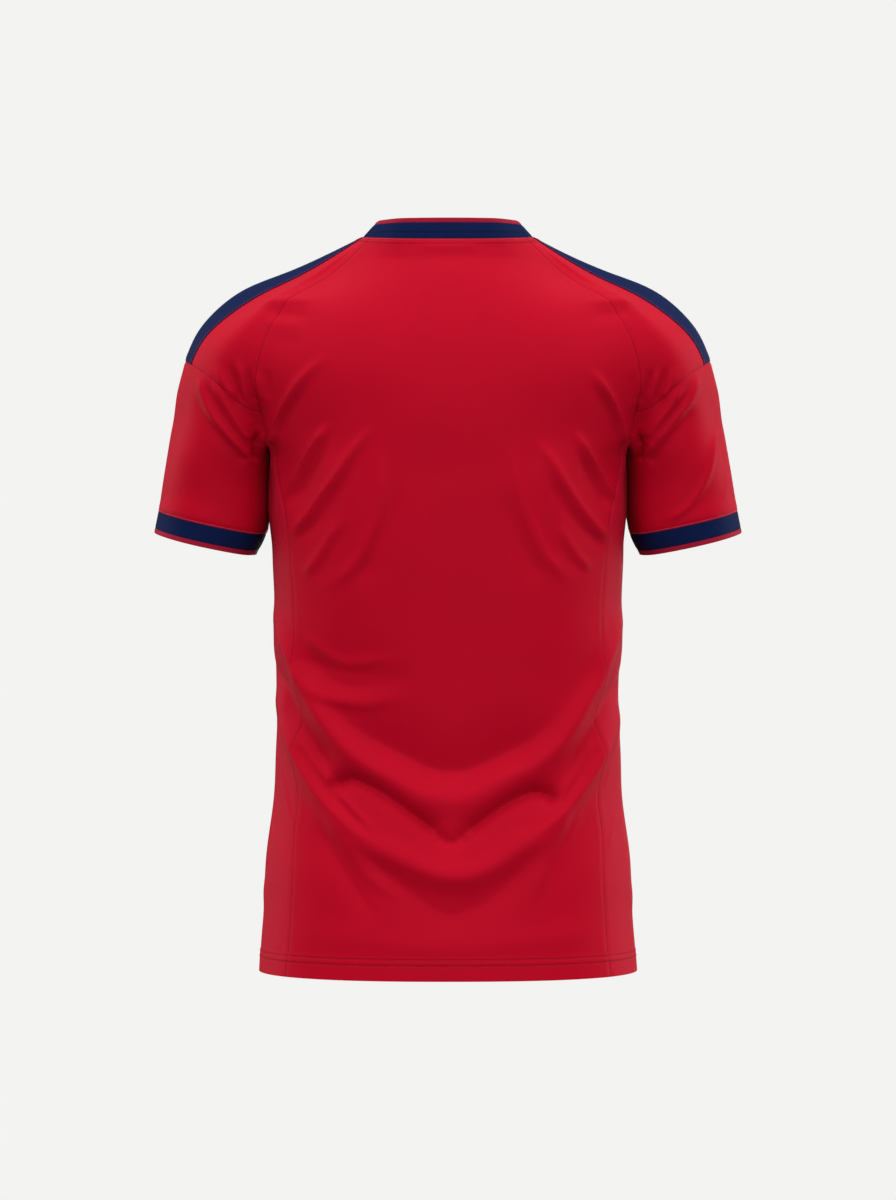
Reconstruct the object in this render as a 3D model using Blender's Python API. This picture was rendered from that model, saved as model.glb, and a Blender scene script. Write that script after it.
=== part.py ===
"""A short-sleeved football jersey, filled out as when it is worn, built from its sewn pieces.

Units are metres and +Z is up. The origin is the middle of the neck at the height of the
shoulder's highest point, where the wearer holds the jersey up. -Y is the wearer's back, +Y the
chest, and +X the wearer's right.

The form is one cage of control points, laid out in rows (from the neck to the hem and to the
cuffs) and columns (from the spine round to the breastbone). Its smooth subdivision surface is the
outside of the cloth. The folds are raised in that surface, which is then parted at the seams, and
each piece gets its wall on the inside.
"""
from collections import namedtuple
from itertools import pairwise

import bpy
import numpy as np

# ---------------------------------------------------------------- driving sizes
WALL = 0.0015                # thickness of the knitted cloth
SEAM_GAP = 0.0003            # gap between two pieces that are sewn together
BAND_THICKNESS = 0.0010      # shoulder band, applied on top of the shoulder panel
CORNER_TRIM = 0.0012         # how far each piece stops short of the underarm corners

NECK_HALF_WIDTH = 0.081
NECK_CENTRE_Y = 0.010        # the neck's widest place is a little in front of the origin
NECK_BACK_REACH = 0.076      # from that place back to the nape
NECK_FRONT_REACH = 0.078     # and forward to the throat
NECK_SIDE_Z = 0.0025
NAPE_FALL = 0.0070           # how much lower the seam lies at the nape than at the sides
THROAT_FALL = 0.0805         # and at the throat
NAPE_CURVE = 1.5             # exponents of those two falls
THROAT_CURVE = 1.8
NECK_SQUARENESS = 2.7

COLLAR_HEIGHT = 0.0155       # navy rib
COLLAR_EDGE_HEIGHT = 0.0045  # red edging above it
NAPE_LEAN = 0.20             # how far the collar leans inwards for its height
SIDE_LEAN = 0.92
THROAT_LEAN = 0.55
THROAT_SPACING = 0.75        # crowds the front columns towards the steep sides of the neckline

TORSO_SQUARENESS = 2.4       # exponent of the superellipse of a torso section
FRONT_SEAM_SHARE = 0.93      # the front side seam's place, as a share of the half width
SIDE_MIDDLE_SHARE = 0.5      # a side panel's inner columns, as a share of its seams' depth
SLEEVE_SQUARENESS = 2.2

# A section of the body above the underarm, from the neck down to the underarm's corner.
# top: ridge of the shoulder; back_seam and front_seam: raglan seams; spine and breast: (y, z).
# mid_fall, mid_y: the arch's middle, as a share of the way from seam to ridge, and its depths
# behind and in front; edge_fall, edge_half: the same share at the shoulder band's edge, and
# that edge's distance from the ridge in Y.
Yoke = namedtuple("Yoke", "top back_seam front_seam spine breast "
                          "mid_fall mid_y edge_fall edge_half")
YOKE = (
    Yoke((0.1120, 0.010, -0.0128), (0.1005, -0.038, -0.0282), (0.0990, 0.063, -0.046),
         (-0.083, -0.036), (0.100, -0.096), 0.38, (-0.031, 0.051), 0.68, 0.030),
    Yoke((0.1545, 0.010, -0.0315), (0.1290, -0.050, -0.0492), (0.1270, 0.071, -0.068),
         (-0.097, -0.066), (0.108, -0.114), 0.33, (-0.041, 0.059), 0.60, 0.033),
    Yoke((0.1955, 0.010, -0.0490), (0.1535, -0.062, -0.0676), (0.1520, 0.079, -0.091),
         (-0.108, -0.096), (0.114, -0.133), 0.32, (-0.051, 0.068), 0.61, 0.035),
    Yoke((0.2275, 0.011, -0.0768), (0.1765, -0.072, -0.1170), (0.1725, 0.082, -0.126),
         (-0.116, -0.128), (0.118, -0.152), 0.45, (-0.062, 0.076), 0.81, 0.036),
    Yoke((0.2475, 0.013, -0.1150), (0.1785, -0.066, -0.1677), (0.1770, 0.075, -0.168),
         (-0.120, -0.160), (0.121, -0.172), 0.45, (-0.063, 0.083), 0.90, 0.036),
    Yoke((0.2625, 0.015, -0.1760), (0.1718, -0.050, -0.1922), (0.1718, 0.058, -0.192),
         (-0.121, -0.192), (0.122, -0.192), 0.36, (-0.056, 0.084), 0.90, 0.036),
)

# The underarm seam between its two corners: x, y, z of its three inner points.
UNDERARM = ((0.1690, -0.024, -0.1985), (0.1680, 0.006, -0.2005), (0.1685, 0.034, -0.1985))

# A level section of the torso below the underarm.
Torso = namedtuple("Torso", "z half_width back_seam_x back_depth front_depth")
TORSO = (
    Torso(-0.222, 0.1675, 0.1600, 0.1205, 0.1225),
    Torso(-0.254, 0.1680, 0.1530, 0.1210, 0.1240),
    Torso(-0.287, 0.1674, 0.1485, 0.1195, 0.1240),
    Torso(-0.320, 0.1658, 0.1460, 0.1175, 0.1230),
    Torso(-0.353, 0.1646, 0.1440, 0.1150, 0.1210),
    Torso(-0.387, 0.1652, 0.1435, 0.1125, 0.1185),
    Torso(-0.421, 0.1622, 0.1410, 0.1100, 0.1160),
    Torso(-0.455, 0.1618, 0.1385, 0.1090, 0.1145),
    Torso(-0.489, 0.1636, 0.1425, 0.1095, 0.1145),
    Torso(-0.523, 0.1648, 0.1395, 0.1120, 0.1160),
    Torso(-0.557, 0.1690, 0.1430, 0.1155, 0.1185),
    Torso(-0.591, 0.1731, 0.1440, 0.1195, 0.1210),
    Torso(-0.625, 0.1742, 0.1455, 0.1230, 0.1235),
    Torso(-0.659, 0.1765, 0.1475, 0.1255, 0.1255),
    Torso(-0.692, 0.1787, 0.1505, 0.1275, 0.1270),
)

# A ring of the sleeve: outer and inner ends (x, z), middle in Y, half depth in Y, and how much
# lower the ring hangs at its back than at its sides.
Ring = namedtuple("Ring", "outer inner centre_y half_depth back_droop")
SLEEVE = (
    Ring((0.2672, -0.2025), (0.1692, -0.2280), 0.018, 0.0680, 0.002),
    Ring((0.2718, -0.2290), (0.1692, -0.2535), 0.020, 0.0665, 0.004),
    Ring((0.2762, -0.2560), (0.1735, -0.2784), 0.021, 0.0650, 0.005),    # cuff seam
    Ring((0.2795, -0.2720), (0.1808, -0.2940), 0.022, 0.0635, 0.005),    # edging seam
    Ring((0.2802, -0.2765), (0.1829, -0.2983), 0.022, 0.0630, 0.005),    # end of the sleeve
)
FIRST_CUFF_ROW = 9           # cage row of the cuff seam
FIRST_CUFF_EDGE_ROW = 10     # cage row of the edging seam

# Columns of the cage. The first and last shoulder columns are the raglan seams.
BACK = ("b0", "b1", "b2", "b3", "b4")
SHOULDER = ("b4", "a1", "a2", "a3", "a4", "a5", "f3")
FRONT = ("f3", "f2", "f1", "f0")
UNDER = ("b4", "q1", "q2", "q3", "f3")
BAND_SPANS = (("a2", "a3"), ("a3", "a4"))
NECK_COLUMNS = BACK + SHOULDER[1:] + FRONT[1:]
CENTRE_COLUMNS = ("b0", "f0")
SLEEVE_ANGLES = {"a3": 0, "a2": -31, "a1": -76, "b4": -121, "q1": -152, "q2": 180,
                 "q3": 152, "f3": 121, "a5": 76, "a4": 31}
NECK_Y = {"b4": -0.035, "a1": -0.023, "a2": -0.010, "a3": 0.010, "a4": 0.030,
          "a5": 0.043, "f3": 0.056}

UNDERARM_ROW = 6
SLEEVE_SEAM_ROW = 5

# ---------------------------------------------------------------- folds
# A fold's line as (x, z) pairs, its half width, its height out of the cloth, and its side.
Fold = namedtuple("Fold", "side line half_width height")
FOLDS = (
    # sway-back drapes across the small of the back
    Fold("back", ((-0.136, -0.397), (-0.113, -0.452), (-0.076, -0.485), (-0.030, -0.512),
                  (0.012, -0.517), (0.058, -0.503), (0.104, -0.471), (0.131, -0.425)),
         0.017, 0.0075),
    Fold("back", ((-0.141, -0.480), (-0.117, -0.521), (-0.071, -0.558), (-0.025, -0.581),
                  (0.007, -0.590), (0.048, -0.577), (0.094, -0.540), (0.127, -0.499)),
         0.017, 0.0065),
    Fold("back", ((-0.104, -0.508), (-0.062, -0.508), (-0.025, -0.536), (0.002, -0.563),
                  (0.021, -0.540), (0.058, -0.512), (0.099, -0.519)),
         0.013, -0.0060),
    Fold("back", ((-0.090, -0.558), (-0.053, -0.591), (-0.007, -0.618), (0.007, -0.632),
                  (0.025, -0.618), (0.067, -0.586), (0.090, -0.563)),
         0.016, -0.0050),
    Fold("back", ((-0.115, -0.434), (-0.076, -0.452), (-0.016, -0.485), (0.007, -0.494),
                  (0.039, -0.480), (0.081, -0.462)),
         0.014, -0.0045),
    Fold("back", ((-0.131, -0.374), (-0.104, -0.406), (-0.053, -0.406)), 0.014, -0.0040),
    Fold("back", ((-0.136, -0.365), (-0.113, -0.388), (-0.048, -0.388)), 0.013, 0.0040),
    # drags from the shoulder blades to the underarms
    Fold("back", ((-0.131, -0.139), (-0.163, -0.181), (-0.167, -0.199)), 0.012, 0.0040),
    Fold("back", ((-0.116, -0.183), (-0.140, -0.215), (-0.157, -0.255)), 0.012, 0.0045),
    Fold("back", ((-0.085, -0.195), (-0.110, -0.232), (-0.131, -0.268)), 0.013, 0.0045),
    Fold("back", ((-0.090, -0.241), (-0.113, -0.262), (-0.136, -0.282)), 0.012, -0.0040),
    Fold("back", ((0.138, -0.139), (0.159, -0.176), (0.168, -0.204)), 0.012, 0.0040),
    Fold("back", ((0.127, -0.195), (0.147, -0.227), (0.159, -0.255)), 0.012, 0.0045),
    Fold("back", ((0.090, -0.195), (0.117, -0.241), (0.145, -0.282)), 0.013, 0.0045),
    Fold("back", ((0.067, -0.181), (0.076, -0.259), (0.099, -0.314), (0.127, -0.328)),
         0.014, 0.0035),
    # drapes of the front, shallower and higher than those of the back
    Fold("front", ((-0.128, -0.408), (-0.092, -0.462), (-0.040, -0.492), (0.018, -0.497),
                   (0.072, -0.472), (0.120, -0.420)), 0.018, 0.0060),
    Fold("front", ((-0.132, -0.490), (-0.090, -0.540), (-0.034, -0.566), (0.022, -0.568),
                   (0.078, -0.545), (0.126, -0.500)), 0.017, 0.0050),
    Fold("front", ((-0.100, -0.490), (-0.045, -0.524), (0.012, -0.534), (0.066, -0.516),
                   (0.098, -0.488)), 0.015, -0.0050),
    Fold("front", ((-0.150, -0.215), (-0.112, -0.250), (-0.080, -0.305)), 0.014, 0.0045),
    Fold("front", ((0.148, -0.212), (0.108, -0.254), (0.086, -0.300)), 0.014, 0.0045),
    Fold("front", ((-0.142, -0.245), (-0.118, -0.290), (-0.104, -0.345)), 0.013, -0.0035),
    Fold("front", ((0.140, -0.248), (0.120, -0.286), (0.100, -0.350)), 0.013, -0.0035),
)
SIDE_FADE = 0.045            # a fold dies out over this depth as the cloth turns to the side
FOLD_END = 0.02              # share of a fold's length that keeps its end's small height
FOLD_TAPER = 0.5             # exponent of the fall towards a fold's ends

# ---------------------------------------------------------------- surface
SUBDIVISIONS = 1
CAGE_ROUNDS = 40             # corrections that bring the smooth surface onto its points
SHARED_NORMAL_ANGLE = 40.0   # degrees: pieces that meet more steeply keep their own normals
SHARP_ANGLE = 50.0           # degrees: a wall's rim is shaded sharp
WIDEST_CORNER = -0.2         # cosine that limits the step into a piece's acute corner

NAVY = (0.020, 0.030, 0.100)
RED = (0.560, 0.012, 0.030)
SIDE_RED = (0.530, 0.022, 0.045)
ROUGHNESS = 0.80


# ---------------------------------------------------------------- sections
def superellipse_rest(share, squareness):
    """The other coordinate, as a share of its own reach, of a superellipse's point."""
    return (1.0 - min(abs(share), 1.0) ** squareness) ** (1.0 / squareness)


def signed_power(value, power):
    """The power of a value's size, with the value's sign."""
    return np.sign(value) * abs(value) ** power


def neck_height(y):
    """Height of the neck seam where it passes the given depth."""
    if y < NECK_CENTRE_Y:
        share = (NECK_CENTRE_Y - y) / NECK_BACK_REACH
        return NECK_SIDE_Z - NAPE_FALL * share ** NAPE_CURVE
    share = (y - NECK_CENTRE_Y) / NECK_FRONT_REACH
    return NECK_SIDE_Z - THROAT_FALL * share ** THROAT_CURVE


def neck_point(column):
    """A point of the neck seam."""
    if column in NECK_Y:
        y = NECK_Y[column]
        reach = NECK_BACK_REACH if y < NECK_CENTRE_Y else NECK_FRONT_REACH
        x = NECK_HALF_WIDTH * superellipse_rest((y - NECK_CENTRE_Y) / reach, NECK_SQUARENESS)
        return np.array((x, y, neck_height(y)))
    corner = "b4" if column in BACK else "f3"
    share = column_share(column)
    x = neck_point(corner)[0] * (share if column in BACK else share ** THROAT_SPACING)
    rest = superellipse_rest(x / NECK_HALF_WIDTH, NECK_SQUARENESS)
    y = NECK_CENTRE_Y - NECK_BACK_REACH * rest
    if column in FRONT:
        y = NECK_CENTRE_Y + NECK_FRONT_REACH * rest
    return np.array((x, y, neck_height(y)))


def column_share(column):
    """How far a back or front column lies from the centre line, 0, to its seam, 1."""
    columns = BACK if column in BACK else FRONT[::-1]
    return columns.index(column) / (len(columns) - 1)


def yoke_point(yoke, column):
    """A point of a section above the underarm."""
    if column in ("b4", "f3"):
        return np.array(yoke.back_seam if column == "b4" else yoke.front_seam)
    if column in BACK or column in FRONT:
        seam = np.array(yoke.back_seam if column in BACK else yoke.front_seam)
        middle_y, middle_z = yoke.spine if column in BACK else yoke.breast
        share = column_share(column)
        y = middle_y + (seam[1] - middle_y) * share ** TORSO_SQUARENESS
        z = middle_z + (seam[2] - middle_z) * share ** 2
        return np.array((seam[0] * share, y, z))
    top = np.array(yoke.top)
    if column == "a3":
        return top
    behind = column in ("a1", "a2")
    seam = np.array(yoke.back_seam if behind else yoke.front_seam)
    edge = column in ("a2", "a4")
    point = seam + (top - seam) * (yoke.edge_fall if edge else yoke.mid_fall)
    if edge:
        point[1] = top[1] + (-yoke.edge_half if behind else yoke.edge_half)
    else:
        point[1] = yoke.mid_y[0] if behind else yoke.mid_y[1]
    return point


def torso_point(torso, column):
    """A point of a level section below the underarm."""
    behind = column in BACK or column == "q1"
    depth = torso.back_depth if behind else torso.front_depth
    seam_x = torso.back_seam_x if behind else torso.half_width * FRONT_SEAM_SHARE
    if column in BACK or column in FRONT:
        x = seam_x * column_share(column)
        y = depth * superellipse_rest(x / torso.half_width, TORSO_SQUARENESS)
    elif column == "q2":
        x, y = torso.half_width, 0.0
    else:
        seam_y = depth * superellipse_rest(seam_x / torso.half_width, TORSO_SQUARENESS)
        y = seam_y * SIDE_MIDDLE_SHARE
        x = torso.half_width * superellipse_rest(y / depth, TORSO_SQUARENESS)
    return np.array((x, -y if behind else y, torso.z))


def sleeve_point(ring, column):
    """A point of a sleeve's ring, which leans with the arm."""
    angle = np.radians(SLEEVE_ANGLES[column])
    across = signed_power(np.cos(angle), 2.0 / SLEEVE_SQUARENESS)
    along = signed_power(np.sin(angle), 2.0 / SLEEVE_SQUARENESS)
    outer = np.array((ring.outer[0], 0.0, ring.outer[1]))
    inner = np.array((ring.inner[0], 0.0, ring.inner[1]))
    point = (outer + inner) / 2.0 + (outer - inner) / 2.0 * across
    point[1] = ring.centre_y + ring.half_depth * along
    point[2] += ring.back_droop * along
    return point


def collar_points(neck_loop, height):
    """The neck seam's loop, moved up its own tilted band by the given height."""
    ahead = np.roll(neck_loop, -1, axis=0)
    behind = np.roll(neck_loop, 1, axis=0)
    tangent = ahead - behind
    tangent /= np.linalg.norm(tangent, axis=1)[:, None]
    up = np.array((0.0, 0.0, 1.0)) - tangent * tangent[:, 2:3]
    outward = np.cross(tangent, (0.0, 0.0, 1.0))
    outward /= np.linalg.norm(outward, axis=1)[:, None]
    outward *= np.sign(np.sum(outward[:, :2] * (neck_loop[:, :2] - (0.0, NECK_CENTRE_Y)),
                              axis=1))[:, None]
    forward = neck_loop[:, 1:2] - NECK_CENTRE_Y
    centre_lean = np.where(forward < 0.0, NAPE_LEAN, THROAT_LEAN)
    reach = np.where(forward < 0.0, NECK_BACK_REACH, NECK_FRONT_REACH)
    lean = SIDE_LEAN + (centre_lean - SIDE_LEAN) * (forward / reach) ** 2
    rise = up - outward * lean
    rise /= np.linalg.norm(rise, axis=1)[:, None]
    return neck_loop + rise * height


# ---------------------------------------------------------------- the cage
def half_cage():
    """Points of the right half as {(column, row, limb): point} and its faces by panel."""
    points = {}
    faces = []

    def strip(columns, rows, limb, panel, closed=False):
        spans = list(pairwise(columns))
        if closed:
            spans.append((columns[-1], columns[0]))
        for upper, lower in pairwise(rows):
            for left, right in spans:
                name = "band" if panel == "shoulder_panel" and (left, right) in BAND_SPANS \
                    else panel
                corners = ((left, upper), (left, lower), (right, lower), (right, upper))
                faces.append((name, [cage_key(c, r, limb) for c, r in corners]))

    for column in NECK_COLUMNS:
        points[(column, 0, "body")] = neck_point(column)
    for row, yoke in enumerate(YOKE, start=1):
        for column in NECK_COLUMNS:
            points[(column, row, "body")] = yoke_point(yoke, column)
    for column, point in zip(UNDER[1:-1], UNDERARM):
        points[(column, UNDERARM_ROW, "body")] = np.array(point)
    for row, torso in enumerate(TORSO, start=UNDERARM_ROW + 1):
        for column in BACK + UNDER[1:-1] + FRONT:
            points[(column, row, "body")] = torso_point(torso, column)
    for row, ring in enumerate(SLEEVE, start=UNDERARM_ROW + 1):
        for column in SLEEVE_ANGLES:
            points[(column, row, "arm")] = sleeve_point(ring, column)

    body_rows = range(UNDERARM_ROW + len(TORSO) + 1)
    arm_rows = range(UNDERARM_ROW, UNDERARM_ROW + len(SLEEVE) + 1)
    sleeve_ring = SHOULDER + UNDER[-2:0:-1]
    strip(BACK, body_rows, "body", "back_panel")
    strip(FRONT, body_rows, "body", "front_panel")
    strip(UNDER, body_rows[UNDERARM_ROW:], "body", "side_panel")
    strip(SHOULDER, range(SLEEVE_SEAM_ROW + 1), "body", "shoulder_panel")
    strip(SHOULDER, (SLEEVE_SEAM_ROW, UNDERARM_ROW), "body", "sleeve")
    strip(sleeve_ring, range(UNDERARM_ROW, FIRST_CUFF_ROW + 1), "arm", "sleeve", closed=True)
    strip(sleeve_ring, (FIRST_CUFF_ROW, FIRST_CUFF_EDGE_ROW), "arm", "cuff", closed=True)
    strip(sleeve_ring, (FIRST_CUFF_EDGE_ROW, arm_rows[-1]), "arm", "cuff_edge", closed=True)
    for row, panel in ((-1, "collar_band"), (-2, "collar_edge")):
        strip(NECK_COLUMNS, (row, row + 1), "body", panel)
    return points, faces


def cage_key(column, row, limb):
    """The sleeve's first ring is the body's underarm row."""
    return (column, row, "body") if row <= UNDERARM_ROW else (column, row, limb)


def add_collar(points):
    """Rows -1 and -2, on the whole loop so that its slope is known at every column."""
    loop_keys = [(column, 0, side) for side, column in neck_loop_columns()]
    loop = np.array([points[key] for key in loop_keys])
    heights = {-1: COLLAR_HEIGHT, -2: COLLAR_HEIGHT + COLLAR_EDGE_HEIGHT}
    for row, height in heights.items():
        for (column, _, side), point in zip(loop_keys, collar_points(loop, height)):
            points[(column, row, side)] = point


def neck_loop_columns():
    """(side, column) all the way round the neck, from the nape over the right shoulder."""
    right = [(0 if c in CENTRE_COLUMNS else 1, c) for c in NECK_COLUMNS]
    left = [(-1, c) for c in NECK_COLUMNS[-2:0:-1]]
    return right + left


def whole_cage():
    """Vertex array, quads, the panel name of each quad, and the neck seam's edges."""
    half_points, half_faces = half_cage()
    points = {}
    for (column, row, limb), point in half_points.items():
        for side in (1, -1):
            place = 0 if column in CENTRE_COLUMNS else side
            mirrored = point * np.array((side if place else 1, 1, 1))
            points[full_key(column, row, limb, place)] = mirrored
    add_collar(points)
    index = {key: number for number, key in enumerate(points)}
    quads = []
    names = []
    for side, suffix in ((1, "_right"), (-1, "_left")):
        for name, keys in half_faces:
            corners = []
            for column, row, limb in keys:
                place = 0 if column in CENTRE_COLUMNS else side
                corners.append(index[full_key(column, row, limb, place)])
            quads.append(corners if side > 0 else corners[::-1])
            paired = name not in ("back_panel", "front_panel", "collar_band", "collar_edge")
            names.append(name + suffix if paired else name)
    loop = [index[(column, 0, side)] for side, column in neck_loop_columns()]
    neck_edges = [tuple(sorted(edge)) for edge in zip(loop, loop[1:] + loop[:1])]
    return np.array(list(points.values())), quads, names, neck_edges


def full_key(column, row, limb, place):
    """Rows of a limb past the underarm keep the limb in their key."""
    return (column, row, place) if limb == "body" else (column, row, place, limb)


def cage_through(targets, quads, sharp_edges):
    """A cage whose smooth surface passes through the target points."""
    edge_faces = {}
    diagonals = [[] for _ in targets]
    for quad in quads:
        for corner in range(4):
            edge = tuple(sorted((quad[corner], quad[(corner + 1) % 4])))
            edge_faces.setdefault(edge, []).append(quad)
            diagonals[quad[corner]].append(quad[(corner + 2) % 4])
    neighbours = [[] for _ in targets]
    sharp = [[] for _ in targets]
    for edge, shared in edge_faces.items():
        for here, there in (edge, edge[::-1]):
            neighbours[here].append(there)
            if len(shared) == 1 or edge in sharp_edges:
                sharp[here].append(there)
    weights = np.zeros((len(targets), len(targets)))
    for here in range(len(targets)):
        if sharp[here]:
            weights[here, here] = 4.0 / 6.0
            weights[here, sharp[here]] += 1.0 / 6.0
            continue
        valence = len(neighbours[here])
        total = valence * (valence + 5.0)
        weights[here, here] = valence ** 2 / total
        weights[here, neighbours[here]] += 4.0 / total
        weights[here, diagonals[here]] += 1.0 / total
    cage = targets.copy()
    for _ in range(CAGE_ROUNDS):
        cage += targets - weights @ cage
    return cage


def smooth_surface():
    """Vertices, quads and panel numbers of the subdivided form, and the panels' names."""
    targets, quads, names, neck_edges = whole_cage()
    panels = sorted(set(names))
    cage = cage_through(targets, quads, set(neck_edges))
    mesh = bpy.data.meshes.new("form_cage")
    mesh.from_pydata(cage.tolist(), [], quads)
    for polygon, name in zip(mesh.polygons, names):
        polygon.material_index = panels.index(name)
    for _ in panels:
        mesh.materials.append(None)
    crease = mesh.attributes.new("crease_edge", "FLOAT", "EDGE")
    neck = set(neck_edges)
    for edge in mesh.edges:
        crease.data[edge.index].value = 1.0 if tuple(sorted(edge.vertices)) in neck else 0.0
    holder = bpy.data.objects.new("form_cage", mesh)
    bpy.context.scene.collection.objects.link(holder)
    subdivision = holder.modifiers.new("Smooth", "SUBSURF")
    subdivision.levels = SUBDIVISIONS
    subdivision.render_levels = SUBDIVISIONS
    subdivision.use_limit_surface = True
    subdivision.boundary_smooth = "ALL"
    smooth = holder.evaluated_get(bpy.context.evaluated_depsgraph_get()).to_mesh()
    vertices = np.array([vertex.co for vertex in smooth.vertices], dtype=float)
    faces = np.array([polygon.vertices for polygon in smooth.polygons])
    numbers = np.array([polygon.material_index for polygon in smooth.polygons])
    bpy.data.objects.remove(holder)
    bpy.data.meshes.remove(mesh)
    return vertices, faces, numbers, panels


# ---------------------------------------------------------------- folds and walls
def vertex_normals(vertices, faces):
    """Unit normals, weighted by area, of the vertices that the faces use."""
    first, second, third, fourth = (vertices[faces[:, k]] for k in range(4))
    face_normals = np.cross(third - first, fourth - second)
    normals = np.zeros_like(vertices)
    for k in range(4):
        np.add.at(normals, faces[:, k], face_normals)
    lengths = np.linalg.norm(normals, axis=1)
    return normals / np.where(lengths > 0.0, lengths, 1.0)[:, None]


def fold_heights(vertices, allowed):
    """How far the folds lift each vertex out of the plain form."""
    flat = vertices[:, [0, 2]]
    heights = np.zeros(len(vertices))
    for fold in FOLDS:
        facing = -vertices[:, 1] if fold.side == "back" else vertices[:, 1]
        fade = np.clip(facing / SIDE_FADE, 0.0, 1.0)
        line = np.array(fold.line)
        nearest = np.full(len(vertices), np.inf)
        place = np.zeros(len(vertices))
        for number, (start, end) in enumerate(pairwise(line)):
            run = end - start
            share = np.clip((flat - start) @ run / (run @ run), 0.0, 1.0)
            distance = np.linalg.norm(flat - start - share[:, None] * run, axis=1)
            closer = distance < nearest
            nearest = np.where(closer, distance, nearest)
            place = np.where(closer, (number + share) / (len(line) - 1), place)
        taper = np.sin(np.pi * np.clip(place, FOLD_END, 1.0 - FOLD_END)) ** FOLD_TAPER
        heights += fold.height * taper * fade * np.exp(-(nearest / fold.half_width) ** 2)
    return heights * allowed


def seam_pull(vertices, faces, normals):
    """Unit step from each edge point into the piece, longer at a corner."""
    edges = {}
    for face in faces:
        for k in range(4):
            edges[(face[k], face[(k + 1) % 4])] = True
    pull = {}
    for start, end in edges:
        if (end, start) in edges:
            continue
        run = vertices[end] - vertices[start]
        for vertex in (start, end):
            inward = np.cross(normals[vertex], run)
            pull.setdefault(vertex, []).append(inward / np.linalg.norm(inward))
    steps = np.zeros_like(vertices)
    for vertex, inwards in pull.items():
        turn = max(float(inwards[0] @ inwards[-1]), WIDEST_CORNER)
        steps[vertex] = sum(inwards) / (1.0 + turn)
    return steps


def split_quads(vertices, faces):
    """Two triangles a quad, across its shorter diagonal."""
    first, second, third, fourth = faces.T
    one = np.linalg.norm(vertices[first] - vertices[third], axis=1)
    other = np.linalg.norm(vertices[second] - vertices[fourth], axis=1)
    across = (one <= other)[:, None]
    near = np.where(across, faces[:, [0, 1, 2]], faces[:, [0, 1, 3]])
    far = np.where(across, faces[:, [0, 2, 3]], faces[:, [1, 2, 3]])
    return np.vstack((near, far))


def walled(name, outer, inner, faces, colour):
    """One closed object between an outer and an inner skin of the same quads."""
    used = np.unique(faces)
    renumber = {old: new for new, old in enumerate(used)}
    triangles = split_quads(outer, faces)
    outside = [[renumber[v] for v in triangle] for triangle in triangles]
    inside = [[v + len(used) for v in triangle[::-1]] for triangle in outside]
    directed = {(face[k], face[(k + 1) % 4]) for face in faces for k in range(4)}
    rim = []
    for start, end in directed:
        if (end, start) in directed:
            continue
        here, there = renumber[start], renumber[end]
        rim.append((there, here, here + len(used)))
        rim.append((there, here + len(used), there + len(used)))
    mesh = bpy.data.meshes.new(name)
    points = np.vstack((outer[used], inner[used]))
    mesh.from_pydata(points.tolist(), [], outside + inside + sorted(rim))
    mesh.shade_smooth()
    mesh.set_sharp_from_angle(angle=np.radians(SHARP_ANGLE))
    mesh.materials.append(cloth(name, colour))
    piece = bpy.data.objects.new(name, mesh)
    bpy.context.scene.collection.objects.link(piece)
    return piece


def cloth(name, colour):
    """Matt knitted polyester in the piece's colour."""
    material = bpy.data.materials.new(name)
    material.use_nodes = True
    shader = material.node_tree.nodes["Principled BSDF"]
    shader.inputs["Base Color"].default_value = (*colour, 1.0)
    shader.inputs["Roughness"].default_value = ROUGHNESS
    shader.inputs["Metallic"].default_value = 0.0
    return material


def panel_colour(name):
    """Navy trims, red edgings and panels, and a paler red at the mesh sides."""
    if name.startswith(("cuff_edge", "collar_edge")):
        return RED
    if name.startswith(("cuff", "collar", "shoulder_band")):
        return NAVY
    return SIDE_RED if name.startswith("side_panel") else RED


def corner_shares(vertices):
    """1 at the underarm's four corners and 0 elsewhere."""
    shares = np.zeros(len(vertices))
    last = YOKE[-1]
    for seam in (last.back_seam, last.front_seam):
        for side in (1, -1):
            corner = np.array(seam) * (side, 1, 1)
            shares[np.argmin(np.linalg.norm(vertices - corner, axis=1))] = 1.0
    return shares


def build_panel(name, chosen, surface, shared_normals, trims):
    """The wall of one panel, a hair short of its neighbours at each seam."""
    vertices, faces = surface
    own = vertex_normals(vertices, faces[chosen])
    agree = np.sum(own * shared_normals, axis=1) > np.cos(np.radians(SHARED_NORMAL_ANGLE))
    normals = np.where(agree[:, None], shared_normals, own)
    steps = seam_pull(vertices, faces[chosen], own)
    outer = vertices + steps * (SEAM_GAP / 2.0 + CORNER_TRIM * trims)[:, None]
    outer -= own * np.where(agree, 0.0, SEAM_GAP / 2.0)[:, None]
    return walled(name, outer, outer - normals * WALL, faces[chosen], panel_colour(name))


def build_band(name, chosen, surface, shared_normals):
    """The shoulder band: its panel's own points, moved out."""
    vertices, faces = surface
    steps = seam_pull(vertices, faces[chosen], shared_normals)
    lower = vertices + steps * SEAM_GAP + shared_normals * SEAM_GAP
    upper = lower + shared_normals * BAND_THICKNESS
    return walled(name, upper, lower, faces[chosen], NAVY)


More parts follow.
